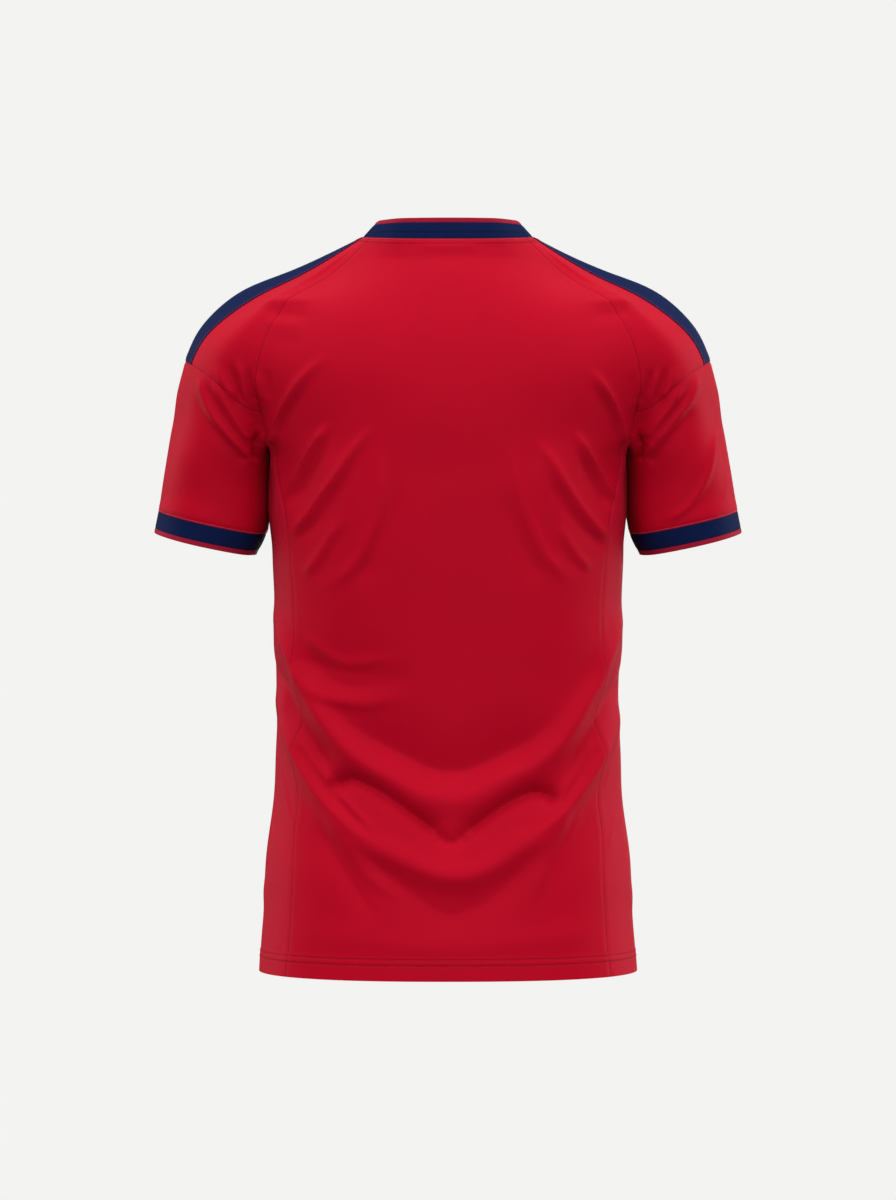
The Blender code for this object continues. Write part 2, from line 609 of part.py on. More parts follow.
def main():
    """Build the jersey's sixteen pieces in an empty scene."""
    for leftover in list(bpy.data.objects):
        bpy.data.objects.remove(leftover)
    vertices, faces, numbers, panels = smooth_surface()
    draped = np.zeros(len(vertices), dtype=bool)
    for panel in ("back_panel", "front_panel", "side_panel_left", "side_panel_right"):
        draped[faces[numbers == panels.index(panel)]] = True
    lift = fold_heights(vertices, draped)
    vertices = vertices + vertex_normals(vertices, faces) * lift[:, None]
    normals = vertex_normals(vertices, faces)
    surface = (vertices, faces)
    trims = corner_shares(vertices)
    for number, panel in enumerate(panels):
        if panel.startswith("band"):
            continue
        chosen = numbers == number
        if panel.startswith("shoulder_panel"):
            band = panels.index(panel.replace("shoulder_panel", "band"))
            build_band(panel.replace("panel", "band"), numbers == band, surface, normals)
            chosen |= numbers == band
        build_panel(panel, chosen, surface, normals, trims)


main()
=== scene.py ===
"""A short-sleeved football jersey, filled out as when it is worn, dressed in its cloth.

Units are metres and +Z is up. -Y is the wearer's back and +X the wearer's right. The outside of
the cloth is one smooth surface through points laid out in rows (neck to hem, neck to cuffs) and
columns (spine round to breastbone). Folds, seams and hems are pressed into it. It is then parted
at the seams, and each piece gets its thickness, its grain for the knit, and its stitching.
"""

from collections import namedtuple
from functools import cache
from itertools import pairwise

import bpy
import numpy as np
from bpy.props import FloatProperty, FloatVectorProperty, IntProperty, PointerProperty
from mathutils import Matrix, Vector, kdtree, noise


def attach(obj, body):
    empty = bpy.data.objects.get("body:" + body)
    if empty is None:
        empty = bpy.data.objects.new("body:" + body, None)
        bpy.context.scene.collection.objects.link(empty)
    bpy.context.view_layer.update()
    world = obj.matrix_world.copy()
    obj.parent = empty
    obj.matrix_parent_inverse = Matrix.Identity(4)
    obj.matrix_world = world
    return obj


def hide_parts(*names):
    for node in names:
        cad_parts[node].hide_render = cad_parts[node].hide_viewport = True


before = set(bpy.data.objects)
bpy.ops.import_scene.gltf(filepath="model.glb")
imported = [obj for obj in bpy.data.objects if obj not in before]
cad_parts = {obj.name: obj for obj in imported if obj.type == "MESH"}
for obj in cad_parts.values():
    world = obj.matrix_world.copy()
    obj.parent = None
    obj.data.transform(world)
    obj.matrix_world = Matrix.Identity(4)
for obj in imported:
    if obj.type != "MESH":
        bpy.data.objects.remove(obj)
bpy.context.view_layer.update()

bl_info = {
    "name": "Football Jersey",
    "version": (1, 0, 0),
    "blender": (4, 5, 0),
    "location": "3D Viewport > Sidebar > Jersey",
    "description": "Makes a football jersey from its knitted panels, rib trims and stitching",
    "category": "Add Mesh",
}

# ---------------------------------------------------------------- the cut
NECK_HALF_WIDTH = 0.081
NECK_CENTRE_Y = 0.010        # the neck's widest place is a little in front of the origin
NECK_BACK_REACH = 0.076      # from that place back to the nape
NECK_FRONT_REACH = 0.078     # and forward to the throat
NECK_SIDE_Z = 0.0025
NAPE_FALL = 0.0070           # how much lower the seam lies at the nape than at the sides
THROAT_FALL = 0.0805         # and at the throat
NAPE_CURVE = 1.5             # exponents of those two falls
THROAT_CURVE = 1.8
NECK_SQUARENESS = 2.7

COLLAR_HEIGHT = 0.0155       # navy rib
COLLAR_EDGE_HEIGHT = 0.0045  # red edging above it
NAPE_LEAN = 0.20             # how far the collar leans inwards for its height
SIDE_LEAN = 0.92
THROAT_LEAN = 0.55
THROAT_SPACING = 0.75        # crowds the front columns towards the steep sides of the neckline

TORSO_SQUARENESS = 2.4       # exponent of the superellipse of a torso section
FRONT_SEAM_SHARE = 0.93      # the front side seam's place, as a share of the half width
SIDE_MIDDLE_SHARE = 0.5      # a side panel's inner columns, as a share of its seams' depth
SLEEVE_SQUARENESS = 2.2

# A section of the body above the underarm, from the neck down to the underarm's corner.
# top: ridge of the shoulder; back_seam and front_seam: raglan seams; spine and breast: (y, z).
# mid_fall, mid_y: the arch's middle, as a share of the way from seam to ridge, and its depths
# behind and in front; edge_fall, edge_half: the same share at the shoulder band's edge, and
# that edge's distance from the ridge in Y.
Yoke = namedtuple("Yoke", "top back_seam front_seam spine breast "
                          "mid_fall mid_y edge_fall edge_half")
YOKE = (
    Yoke((0.1120, 0.010, -0.0128), (0.1005, -0.038, -0.0282), (0.0990, 0.063, -0.046),
         (-0.083, -0.036), (0.100, -0.096), 0.38, (-0.031, 0.051), 0.68, 0.030),
    Yoke((0.1545, 0.010, -0.0315), (0.1290, -0.050, -0.0492), (0.1270, 0.071, -0.068),
         (-0.097, -0.066), (0.108, -0.114), 0.33, (-0.041, 0.059), 0.60, 0.033),
    Yoke((0.1955, 0.010, -0.0490), (0.1535, -0.062, -0.0676), (0.1520, 0.079, -0.091),
         (-0.108, -0.096), (0.114, -0.133), 0.32, (-0.051, 0.068), 0.61, 0.035),
    Yoke((0.2275, 0.011, -0.0768), (0.1765, -0.072, -0.1170), (0.1725, 0.082, -0.126),
         (-0.116, -0.128), (0.118, -0.152), 0.49, (-0.062, 0.076), 0.81, 0.036),
    Yoke((0.2475, 0.013, -0.1150), (0.1785, -0.061, -0.1677), (0.1770, 0.071, -0.168),
         (-0.120, -0.160), (0.121, -0.172), 0.54, (-0.060, 0.081), 0.90, 0.036),
    Yoke((0.2625, 0.015, -0.1760), (0.1718, -0.055, -0.1922), (0.1718, 0.062, -0.192),
         (-0.121, -0.192), (0.122, -0.192), 0.56, (-0.053, 0.083), 0.90, 0.036),
)

# The underarm seam between its two corners: x, y, z of its three inner points.
UNDERARM = ((0.1690, -0.024, -0.1985), (0.1680, 0.006, -0.2005), (0.1685, 0.034, -0.1985))

# A level section of the torso below the underarm.
Torso = namedtuple("Torso", "z half_width back_seam_x back_depth front_depth")
TORSO = (
    Torso(-0.222, 0.1675, 0.1600, 0.1205, 0.1225),
    Torso(-0.254, 0.1680, 0.1530, 0.1210, 0.1240),
    Torso(-0.287, 0.1674, 0.1485, 0.1195, 0.1240),
    Torso(-0.320, 0.1658, 0.1460, 0.1175, 0.1230),
    Torso(-0.353, 0.1646, 0.1440, 0.1150, 0.1210),
    Torso(-0.387, 0.1652, 0.1435, 0.1125, 0.1185),
    Torso(-0.421, 0.1622, 0.1410, 0.1100, 0.1160),
    Torso(-0.455, 0.1618, 0.1385, 0.1090, 0.1145),
    Torso(-0.489, 0.1636, 0.1425, 0.1095, 0.1145),
    Torso(-0.523, 0.1648, 0.1395, 0.1120, 0.1160),
    Torso(-0.557, 0.1690, 0.1430, 0.1155, 0.1185),
    Torso(-0.591, 0.1731, 0.1440, 0.1195, 0.1210),
    Torso(-0.625, 0.1742, 0.1455, 0.1230, 0.1235),
    Torso(-0.659, 0.1765, 0.1475, 0.1255, 0.1255),
    Torso(-0.692, 0.1787, 0.1505, 0.1275, 0.1270),
)

# A ring of the sleeve: outer and inner ends (x, z), middle in Y, half depth in Y, and how much
# lower the ring hangs at its back than at its sides.
Ring = namedtuple("Ring", "outer inner centre_y half_depth back_droop")
SLEEVE = (
    Ring((0.2672, -0.2025), (0.1692, -0.2280), 0.018, 0.0680, 0.002),
    Ring((0.2718, -0.2290), (0.1692, -0.2535), 0.020, 0.0665, 0.004),
    Ring((0.2762, -0.2560), (0.1735, -0.2784), 0.021, 0.0650, 0.005),    # cuff seam
    Ring((0.2795, -0.2720), (0.1808, -0.2940), 0.022, 0.0635, 0.005),    # edging seam
    Ring((0.2802, -0.2765), (0.1829, -0.2983), 0.022, 0.0630, 0.005),    # end of the sleeve
)
FIRST_CUFF_ROW = 9           # row of the cuff seam
FIRST_CUFF_EDGE_ROW = 10     # row of the edging seam

# Columns. The first and last shoulder columns are the raglan seams.
BACK = ("b0", "b1", "b2", "b3", "b4")
SHOULDER = ("b4", "a1", "a2", "a3", "a4", "a5", "f3")
FRONT = ("f3", "f2", "f1", "f0")
UNDER = ("b4", "q1", "q2", "q3", "f3")
BAND_SPANS = (("a2", "a3"), ("a3", "a4"))
NECK_COLUMNS = BACK + SHOULDER[1:] + FRONT[1:]
CENTRE_COLUMNS = ("b0", "f0")
SLEEVE_ANGLES = {"a3": 0, "a2": -31, "a1": -76, "b4": -121, "q1": -152, "q2": 180,
                 "q3": 152, "f3": 121, "a5": 76, "a4": 31}
NECK_Y = {"b4": -0.035, "a1": -0.023, "a2": -0.010, "a3": 0.010, "a4": 0.030,
          "a5": 0.043, "f3": 0.056}
UNDERARM_ROW = 6
SLEEVE_SEAM_ROW = 5
HEM_ROW = UNDERARM_ROW + len(TORSO)
CUFF_END_ROW = UNDERARM_ROW + len(SLEEVE)
CAGE_ROUNDS = 40             # corrections that bring the smooth surface onto its points

# ---------------------------------------------------------------- the folds
# Folds are in millimetres. side: where the fold is seen from, or for a drape the spine or the
# breastbone that it is measured round the body from. limb: the body, the arm or any.
# above, below: its half widths on either hand. height: out (+) or in (-). rise, fall: the shares
# of its length over which it rises and dies out. line: from left to right, as (x, z), (y, z) on
# a side, or (way round, z).
Fold = namedtuple("Fold", "side limb above below height rise fall line")
# The line of the upper drape. Each of its ends carries a second fold.
UPPER_DRAPE = (
    (-272, -360), (-200, -359), (-172, -381), (-158, -399), (-150, -417), (-138, -432),
    (-124, -450), (-108, -467), (-91, -483), (-75, -495), (-59, -505), (-42, -514), (-26, -522),
    (-12, -525), (2, -527), (16, -525), (29, -520), (43, -512), (57, -505), (76, -497),
    (92, -486), (107, -473), (122, -455), (138, -434), (153, -417), (164, -398), (177, -380),
    (194, -365), (272, -360))
# A group has its sides, its limb and its folds. A fold is given from above to its line's points.
FOLD_GROUPS = (
    ("spine", "body",
     # drapes from one side, round the small of the back, to the other: crest, undercut, crest
     (12, 16, 4, 0.3, 0.3, *UPPER_DRAPE),
     (13, 9, 4.4, 0.6, 0.4, *UPPER_DRAPE[:13]),
     (13, 9, 4.4, 0.4, 0.6, *UPPER_DRAPE[16:]),
     (7, 8, -9.6, 0.03, 0.16, (-111, -512), (-104, -511), (-98, -509), (-90, -507), (-76, -512),
      (-62, -519), (-48, -528), (-34, -538), (-21, -547), (-11, -556), (-3, -564)),
     (7, 8, -9.6, 0.2, 0.03, (6, -564), (16, -556), (27, -548), (38, -540), (50, -532), (63, -525),
      (75, -520), (85, -519), (93, -522), (100, -528)),
     (8, 6, -4.6, 0.25, 0.25, (-12, -555), (-5, -563), (3, -565), (11, -563), (18, -555)),
     (14, 12, 6, 0.2, 0.2, (-272, -440), (-199, -440), (-180, -456), (-164, -473), (-148, -493),
      (-133, -510), (-116, -528), (-99, -543), (-83, -556), (-66, -569), (-50, -577), (-33, -585),
      (-14, -593), (6, -597), (26, -593), (45, -583), (62, -571), (79, -561), (95, -548),
      (111, -531), (126, -516), (140, -502), (154, -487), (173, -471), (202, -457), (272, -452)),
     (14, 17, -3.6, 0.2, 0.25, (-86, -564), (-67, -581), (-49, -597), (-32, -610), (-15, -623),
      (2, -631), (18, -626), (35, -617), (52, -600), (70, -581), (86, -569)),
     (28, 12, -10, 0.3, 0.3, (-122, -435), (-102, -449), (-87, -461), (-73, -470), (-54, -480),
      (-35, -489), (-17, -497), (2, -500), (20, -498), (39, -491), (58, -482), (76, -473),
      (94, -459), (111, -441)),
     (40, 16, -4, 0.3, 0.5, (-176, -391), (-111, -405), (-63, -412), (-17, -419)),
     # the valleys between those crests at the sides
     (11, 6, -4.6, 0.35, 0.14, (-262, -398), (-190, -419), (-168, -439), (-148, -460),
      (-131, -478), (-117, -493), (-106, -507)),
     (8, 6, -3.4, 0.2, 0.4, (106, -516), (117, -500), (131, -481), (145, -463), (162, -445),
      (189, -428), (262, -404)),
     # thin rolls beside them
     (3.5, 4, 1.4, 0.2, 0.3, (-200, -363), (-175, -379), (-160, -397), (-150, -417), (-134, -438)),
     (3.5, 4, 1.3, 0.3, 0.2, (159, -409), (167, -393), (180, -377), (200, -361)),
     (3.2, 4, 1.4, 0.12, 0.35, (-190, -451), (-169, -470), (-149, -493), (-134, -510),
      (-121, -522), (-109, -532), (-95, -544), (-83, -555), (-68, -564), (-55, -571)),
     (3.2, 4, 1.9, 0.35, 0.12, (61, -568), (72, -561), (81, -555), (91, -548), (102, -540),
      (113, -531), (126, -519), (140, -506), (156, -488), (172, -474)),
     (3.2, 2.6, 1.7, 0.12, 0.3, (-154, -467), (-143, -477), (-133, -487), (-122, -498),
      (-111, -509), (-101, -519), (-90, -529), (-79, -540), (-67, -551), (-54, -561)),
     (2.6, 2.8, -1.5, 0.12, 0.3, (-157, -475), (-145, -485), (-134, -497), (-121, -509),
      (-109, -521), (-97, -532), (-84, -544), (-72, -555), (-58, -565)),
     (3.2, 2.6, 1.5, 0.22, 0.12, (88, -534), (100, -525), (110, -514), (120, -502), (133, -486),
      (146, -471)),
     (2.6, 2.8, -1.4, 0.22, 0.12, (90, -538), (103, -528), (113, -517), (125, -505), (138, -492),
      (152, -477)),
     (2.6, 3.4, 1.2, 0.25, 0.3, (-193, -494), (-178, -515), (-165, -534), (-152, -551)),
     (2.8, 3.2, 1.2, 0.3, 0.25, (158, -525), (170, -501), (182, -479), (208, -455)),
     (3.4, 4, 1, 0.3, 0.3, (152, -579), (170, -555), (191, -535)),
     (3.2, 4, 0.9, 0.3, 0.3, (-222, -550), (-190, -565), (-173, -581)),
     # short rolls at the left of the waist
     (9, 6, 2.7, 0.12, 0.6, (-153, -398), (-145, -413), (-129, -426), (-110, -434), (-92, -437),
      (-73, -438), (-45, -432), (-21, -428)),
     (11, 9, -2, 0.2, 0.6, (-146, -387), (-131, -400), (-114, -413), (-96, -422), (-77, -421),
      (-44, -416), (-21, -412)),
     (5.5, 6, 1.5, 0.2, 0.5, (-148, -374), (-130, -381), (-114, -393), (-95, -401), (-71, -399),
      (-44, -395), (-26, -394)),
     # slanting folds from the drapes down to the hem
     (8, 6, 2.4, 0.25, 0.35, (-117, -533), (-100, -556), (-85, -573), (-66, -596), (-48, -611),
      (-32, -624)),
     (6, 9, -2.2, 0.25, 0.35, (-123, -542), (-106, -569), (-91, -589), (-77, -609), (-65, -627),
      (-52, -643)),
     (9, 5, 2.2, 0.3, 0.25, (66, -627), (77, -603), (87, -580), (100, -556), (116, -531)),
     (4, 4, 0.9, 0.3, 0.3, (93, -593), (110, -562), (128, -531)),
     (12, 9, 0.9, 0.2, 0.2, (-140, -647), (-72, -656), (6, -661), (84, -655), (143, -647))),
    ("back", "body",
     # drags from the shoulder blades to the underarms, each a ridge with its furrow
     (3.6, 3.6, 4.2, 0.1, 0.4, (-171, -201), (-165, -190), (-159, -174), (-151, -159),
      (-142, -146), (-132, -134), (-120, -123), (-106, -113)),
     (3.2, 6, -2, 0.2, 0.4, (-162, -193), (-156, -177), (-147, -164), (-136, -151), (-126, -141)),
     (3.6, 3.4, 5, 0.25, 0.25, (-154, -250), (-147, -239), (-139, -225), (-130, -208),
      (-120, -193), (-108, -176)),
     (3.2, 6, -3.4, 0.25, 0.4, (-151, -257), (-145, -250), (-136, -237), (-126, -221),
      (-117, -203), (-109, -188)),
     (4.6, 4.2, 4.2, 0.15, 0.3, (-148, -287), (-138, -273), (-127, -260), (-116, -244),
      (-104, -229), (-94, -214), (-84, -200), (-74, -188), (-63, -180)),
     (4.2, 7, -2.4, 0.2, 0.35, (-142, -291), (-133, -279), (-119, -265), (-108, -251), (-98, -236),
      (-88, -219), (-80, -204)),
     (5, 4, 2.2, 0.2, 0.35, (-136, -322), (-123, -306), (-113, -291), (-101, -273), (-93, -260)),
     (4, 7, -0.9, 0.3, 0.4, (-128, -324), (-115, -310), (-106, -294), (-99, -275), (-94, -264)),
     (6, 6, 2.4, 0.25, 0.3, (-117, -331), (-104, -325), (-91, -315), (-80, -301), (-73, -285),
      (-66, -268), (-63, -247), (-63, -217), (-65, -191)),
     (7, 13, -2.3, 0.25, 0.3, (-89, -331), (-72, -307), (-61, -281), (-54, -257), (-51, -228)),
     (3.6, 3.6, 4.2, 0.35, 0.1, (129, -126), (138, -136), (147, -148), (155, -162), (162, -177),
      (169, -198)),
     (3.2, 6, -2, 0.4, 0.2, (131, -140), (142, -153), (151, -166), (157, -181), (162, -197)),
     (3.4, 3.6, 5, 0.25, 0.25, (117, -183), (127, -201), (137, -218), (146, -234), (154, -246),
      (159, -252)),
     (3.2, 6, -3.4, 0.4, 0.25, (119, -199), (128, -216), (139, -235), (148, -250), (155, -258)),
     (4.6, 4.4, 3.4, 0.25, 0.15, (82, -191), (89, -204), (99, -219), (109, -236), (120, -252),
      (132, -267), (144, -280), (153, -289)),
     (4.4, 7, -2.9, 0.3, 0.15, (89, -219), (100, -240), (111, -257), (124, -273), (139, -287),
      (149, -296)),
     (5, 4, 1.9, 0.35, 0.2, (100, -268), (109, -285), (120, -301), (134, -316)),
     (4, 7, -0.8, 0.4, 0.3, (100, -283), (109, -298), (120, -311), (132, -322)),
     (6, 6, 2.2, 0.3, 0.2, (64, -186), (63, -215), (66, -241), (73, -265), (81, -284), (91, -302),
      (103, -316), (117, -326)),
     (7, 13, -2.2, 0.3, 0.25, (51, -232), (56, -259), (65, -285), (79, -310), (96, -329))),
    ("back", "any",
     # the hollows of the armpits
     (5, 5, -4.5, 0.5, 0.02, (-183, -135), (-182, -148), (-180, -165), (-179, -181), (-177, -201)),
     (9, 9, -9, 0.6, 0.02, (-181, -148), (-179, -166), (-178, -185), (-175, -210)),
     (9, 9, -9, 0.02, 0.6, (175, -210), (178, -185), (179, -166), (181, -148)),
     (5, 5, -4.5, 0.02, 0.5, (177, -201), (179, -181), (180, -165), (182, -148), (183, -135)),
     # creases across the raglan seams, and under the collar
     (4.5, 3.6, 1.7, 0.25, 0.35, (-180, -64), (-162, -63), (-143, -63), (-120, -64)),
     (4, 7, -1.7, 0.25, 0.35, (-172, -72), (-153, -74), (-138, -76), (-123, -77)),
     (6, 6, 0.8, 0.3, 0.3, (-174, -85), (-155, -85), (-135, -87)),
     (7, 8, -0.8, 0.3, 0.3, (-168, -100), (-147, -102), (-131, -101)),
     (4.5, 3.6, 1.6, 0.35, 0.25, (125, -65), (147, -64), (166, -62), (185, -62)),
     (4, 7, -1.6, 0.35, 0.25, (128, -77), (145, -76), (161, -73), (175, -70)),
     (2.6, 4.6, 0.9, 0.3, 0.3, (-34, -11), (0, -12), (34, -11))),
    ("back", "body",
     # the hollow below the nape
     (13, 17, -2.4, 0.2, 0.2, (-90, -20), (-45, -22), (0, -24), (45, -22), (90, -20)),
     (4, 6, -0.7, 0.35, 0.35, (-30, -17), (0, -19), (32, -17))),
    ("back", "arm",
     # the left sleeve's back: a fan from the sleeve seam to the underarm
     (3.2, 3.2, 3.4, 0.15, 0.08, (-235, -130), (-232, -139), (-229, -150), (-225, -160),
      (-219, -171), (-211, -181), (-202, -192), (-192, -202), (-181, -213)),
     (3.2, 6, -2.4, 0.2, 0.1, (-238, -146), (-232, -163), (-223, -176), (-212, -189), (-200, -202),
      (-188, -214)),
     (3, 4, -1.8, 0.2, 0.1, (-226, -136), (-222, -151), (-215, -163), (-207, -176), (-196, -189),
      (-185, -201)),
     (3.4, 3, 3, 0.2, 0.1, (-220, -136), (-215, -147), (-208, -159), (-200, -172), (-192, -184),
      (-183, -196)),
     (3.2, 3.2, -2.2, 0.25, 0.1, (-203, -146), (-195, -159), (-184, -175)),
     (3.2, 2.8, 1.6, 0.3, 0.2, (-205, -140), (-198, -152), (-188, -163))),
    ("back", "any",
     # the fan's upper folds run on across the left sleeve's seam
     (3, 3, 2.2, 0.35, 0.2, (-217, -120), (-212, -133), (-205, -147), (-198, -159)),
     (2.8, 2.8, -3, 0.35, 0.2, (-205, -118), (-201, -133), (-196, -148), (-191, -162)),
     (2.8, 2.8, 2.8, 0.35, 0.2, (-198, -116), (-193, -131), (-190, -146), (-188, -159)),
     (2.8, 3.2, -3.2, 0.35, 0.15, (-186, -124), (-185, -141), (-181, -159)),
     (2.8, 2.8, 2.6, 0.35, 0.2, (-177, -129), (-176, -143), (-173, -157)),
     (3, 4, -2.1, 0.35, 0.2, (-170, -126), (-167, -141), (-168, -156))),
    ("back", "arm",
     # the roll above the left cuff, and the right sleeve's fan
     (10, 8, 1.5, 0.08, 0.08, (-274, -251), (-274, -254), (-252, -258), (-228, -265), (-205, -271),
      (-176, -276)),
     (3.2, 3.2, 3.4, 0.08, 0.15, (181, -214), (191, -199), (203, -185), (213, -172), (223, -160),
      (230, -147), (234, -134), (236, -128)),
     (3.2, 6, -2.4, 0.1, 0.2, (187, -216), (198, -202), (210, -188), (222, -173), (231, -158)),
     (3, 4, -1.8, 0.1, 0.2, (189, -198), (200, -184), (209, -172), (218, -159), (226, -144)),
     (3.4, 3, 3, 0.1, 0.2, (184, -192), (195, -177), (205, -165), (213, -153), (221, -142)),
     (3.2, 3.2, -2, 0.1, 0.25, (182, -177), (193, -163), (202, -150))),
    ("back", "any",
     # and its folds across the seam
     (2.8, 2.8, 2.8, 0.2, 0.35, (186, -159), (191, -144), (196, -126)),
     (2.8, 3, -3.2, 0.15, 0.35, (181, -159), (187, -142), (190, -124)),
     (2.8, 2.8, -2.8, 0.2, 0.35, (193, -159), (200, -142), (205, -122)),
     (3, 3, 2, 0.25, 0.35, (200, -157), (207, -140), (214, -122)),
     (3, 4, -2, 0.2, 0.35, (172, -161), (172, -145), (169, -128))),
    ("back", "arm",
     # the right sleeve's outer folds, and the roll above its cuff
     (3.2, 3.2, 2.6, 0.15, 0.35, (199, -270), (213, -263), (225, -254), (236, -240), (245, -222),
      (251, -198), (254, -181), (255, -154)),
     (3, 3, 1, 0.3, 0.35, (258, -251), (264, -234), (264, -215)),
     (10, 8, 1.5, 0.08, 0.08, (176, -276), (207, -271), (229, -265), (254, -258), (274, -251))),
    ("breast", "body",
     # drapes round the front, a little higher and shallower than those of the back
     (21, 9, 6.6, 0.12, 0.12, (-236, -358), (-190, -368), (-148, -398), (-104, -446), (-60, -478),
      (-12, -494), (33, -489), (79, -464), (122, -414), (160, -380), (200, -366), (236, -360)),
     (9, 13, -5.4, 0.15, 0.15, (-160, -436), (-112, -472), (-66, -506), (-16, -526), (34, -521),
      (76, -498), (112, -464), (152, -430)),
     (21, 10, 5.4, 0.12, 0.12, (-228, -452), (-190, -460), (-150, -486), (-98, -538), (-46, -564),
      (10, -572), (64, -552), (106, -516), (150, -482), (192, -462), (228, -450)),
     (10, 16, -3.6, 0.2, 0.2, (-142, -548), (-96, -578), (-44, -600), (14, -608), (70, -587),
      (112, -556), (146, -530)),
     (12, 13, -3, 0.25, 0.25, (-118, -410), (-58, -452), (6, -464), (64, -446), (108, -404)),
     (7, 5, 2.2, 0.2, 0.35, (-150, -420), (-128, -440), (-96, -452), (-60, -448)),
     (6, 5, 1.8, 0.35, 0.2, (58, -440), (98, -448), (130, -430), (152, -408)),
     (10, 6, 1.9, 0.25, 0.3, (-136, -556), (-104, -610), (-66, -654)),
     (8, 6, 1.7, 0.3, 0.25, (60, -650), (98, -602), (128, -556)),
     (14, 12, 1.2, 0.3, 0.3, (-120, -632), (-40, -620), (30, -630), (120, -616))),
    ("front", "body",
     # drags of the front, from the chest to the underarms and down from the neck
     (6, 4.5, 3.2, 0.15, 0.35, (-164, -262), (-136, -220), (-108, -172)),
     (5, 8, -2.4, 0.15, 0.35, (-156, -276), (-126, -232), (-100, -190)),
     (9, 7, 2.6, 0.15, 0.35, (-148, -308), (-108, -268), (-78, -210)),
     (6, 12, -1.8, 0.2, 0.35, (-136, -318), (-98, -284), (-66, -224)),
     (6, 4.5, 3.2, 0.35, 0.15, (106, -168), (134, -218), (164, -260)),
     (5, 8, -2.4, 0.35, 0.15, (98, -188), (124, -234), (156, -276)),
     (9, 7, 2.6, 0.35, 0.15, (74, -206), (104, -264), (146, -310)),
     (6, 12, -1.8, 0.35, 0.2, (64, -220), (94, -282), (134, -322)),
     (9, 11, 1.4, 0.3, 0.4, (-66, -96), (-50, -158), (-46, -222)),
     (11, 9, 1.5, 0.4, 0.3, (44, -228), (52, -160), (70, -98)),
     (16, 16, -1.2, 0.3, 0.3, (-30, -330), (-6, -255), (4, -180))),
    ("front", "any",
     # creases across the raglan seams
     (5, 5, -1.2, 0.25, 0.35, (-176, -106), (-150, -112), (-124, -110)),
     (5, 5, -1.3, 0.35, 0.25, (122, -112), (148, -116), (174, -108)),
     # the front hollows of the armpits
     (9, 9, -7.5, 0.6, 0.02, (-190, -136), (-188, -156), (-186, -176), (-184, -198)),
     (9, 9, -7.5, 0.02, 0.6, (184, -198), (186, -176), (188, -156), (190, -136))),
    ("front", "arm",
     # the sleeves' fronts
     (8, 4, 2.4, 0.2, 0.1, (-246, -138), (-226, -176), (-188, -210)),
     (5, 9, -1.9, 0.2, 0.1, (-238, -160), (-214, -196), (-182, -222)),
     (5, 4, 1.6, 0.25, 0.1, (-232, -140), (-212, -172), (-186, -196)),
     (8, 4, 2.4, 0.1, 0.2, (188, -208), (224, -176), (244, -136)),
     (5, 9, -1.9, 0.1, 0.2, (184, -222), (212, -196), (236, -158)),
     (5, 4, 1.6, 0.1, 0.25, (188, -196), (212, -174), (230, -142)),
     (10, 3, 1.4, 0.1, 0.1, (-262, -246), (-224, -258), (-184, -264)),
     (10, 3, 1.4, 0.1, 0.1, (184, -264), (224, -258), (262, -246))),
    ("left", "body",
     # the sides, under the arms and above the hem
     (9, 10, -1.8, 0.15, 0.4, (-34, -214), (-24, -262), (-4, -310)),
     (8, 10, 1.4, 0.2, 0.4, (18, -212), (34, -258), (46, -306)),
     (12, 12, 1.2, 0.3, 0.3, (-60, -600), (-20, -618), (40, -610))),
    ("right", "body",
     (9, 10, -1.8, 0.15, 0.4, (-30, -212), (-18, -260), (2, -308)),
     (8, 10, 1.4, 0.2, 0.4, (22, -212), (36, -260), (44, -310)),
     (12, 12, 1.2, 0.3, 0.3, (-54, -610), (-10, -622), (44, -606))),
    ("left", "arm",
     # the outsides of the sleeves
     (11, 12, -1.4, 0.25, 0.3, (-30, -128), (-18, -182), (-22, -238)),
     (12, 11, 1.3, 0.25, 0.3, (20, -130), (44, -178), (56, -236))),
    ("right", "arm",
     (11, 12, -1.4, 0.25, 0.3, (-32, -130), (-20, -180), (-24, -240)),
     (12, 11, 1.3, 0.25, 0.3, (22, -128), (42, -180), (54, -234))),
    ("left right", "any",
     # the fullness over the ends of the shoulders
     (45, 45, 2.4, 0.4, 0.25, (12, -36), (12, -60), (11, -90), (10, -120), (10, -150),
      (10, -176))),
    ("left right", "body",
     # the sides fill out to meet the sleeves below the underarms
     (26, 26, 2.6, 0.3, 0.45, (-10, -196), (-10, -222), (-10, -252), (-10, -296))),
)
FOLDS = [Fold(side, limb, *fold[:5], fold[5:])
         for sides, limb, *folds in FOLD_GROUPS for side in sides.split() for fold in folds]
FOLD_UNIT = 0.001
FOLD_REACH = 3.0             # half widths from its line at which a fold has died out
CREST_POWER = 2.0            # crests are round, and furrows between them sharper
FURROW_POWER = 1.35
FACING_FULL = 0.55           # a fold keeps its full height where the cloth faces its side this well
SIDES = {"back": (0, -1, 0), "front": (0, 1, 0), "left": (-1, 0, 0), "right": (1, 0, 0)}
GIRTH = {"spine": -1, "breast": 1}
GIRTH_HALF_WIDTH = 0.165     # the waist's half sizes, and the radius of a circle as long
GIRTH_HALF_DEPTH = 0.118
GIRTH_RADIUS = 0.156

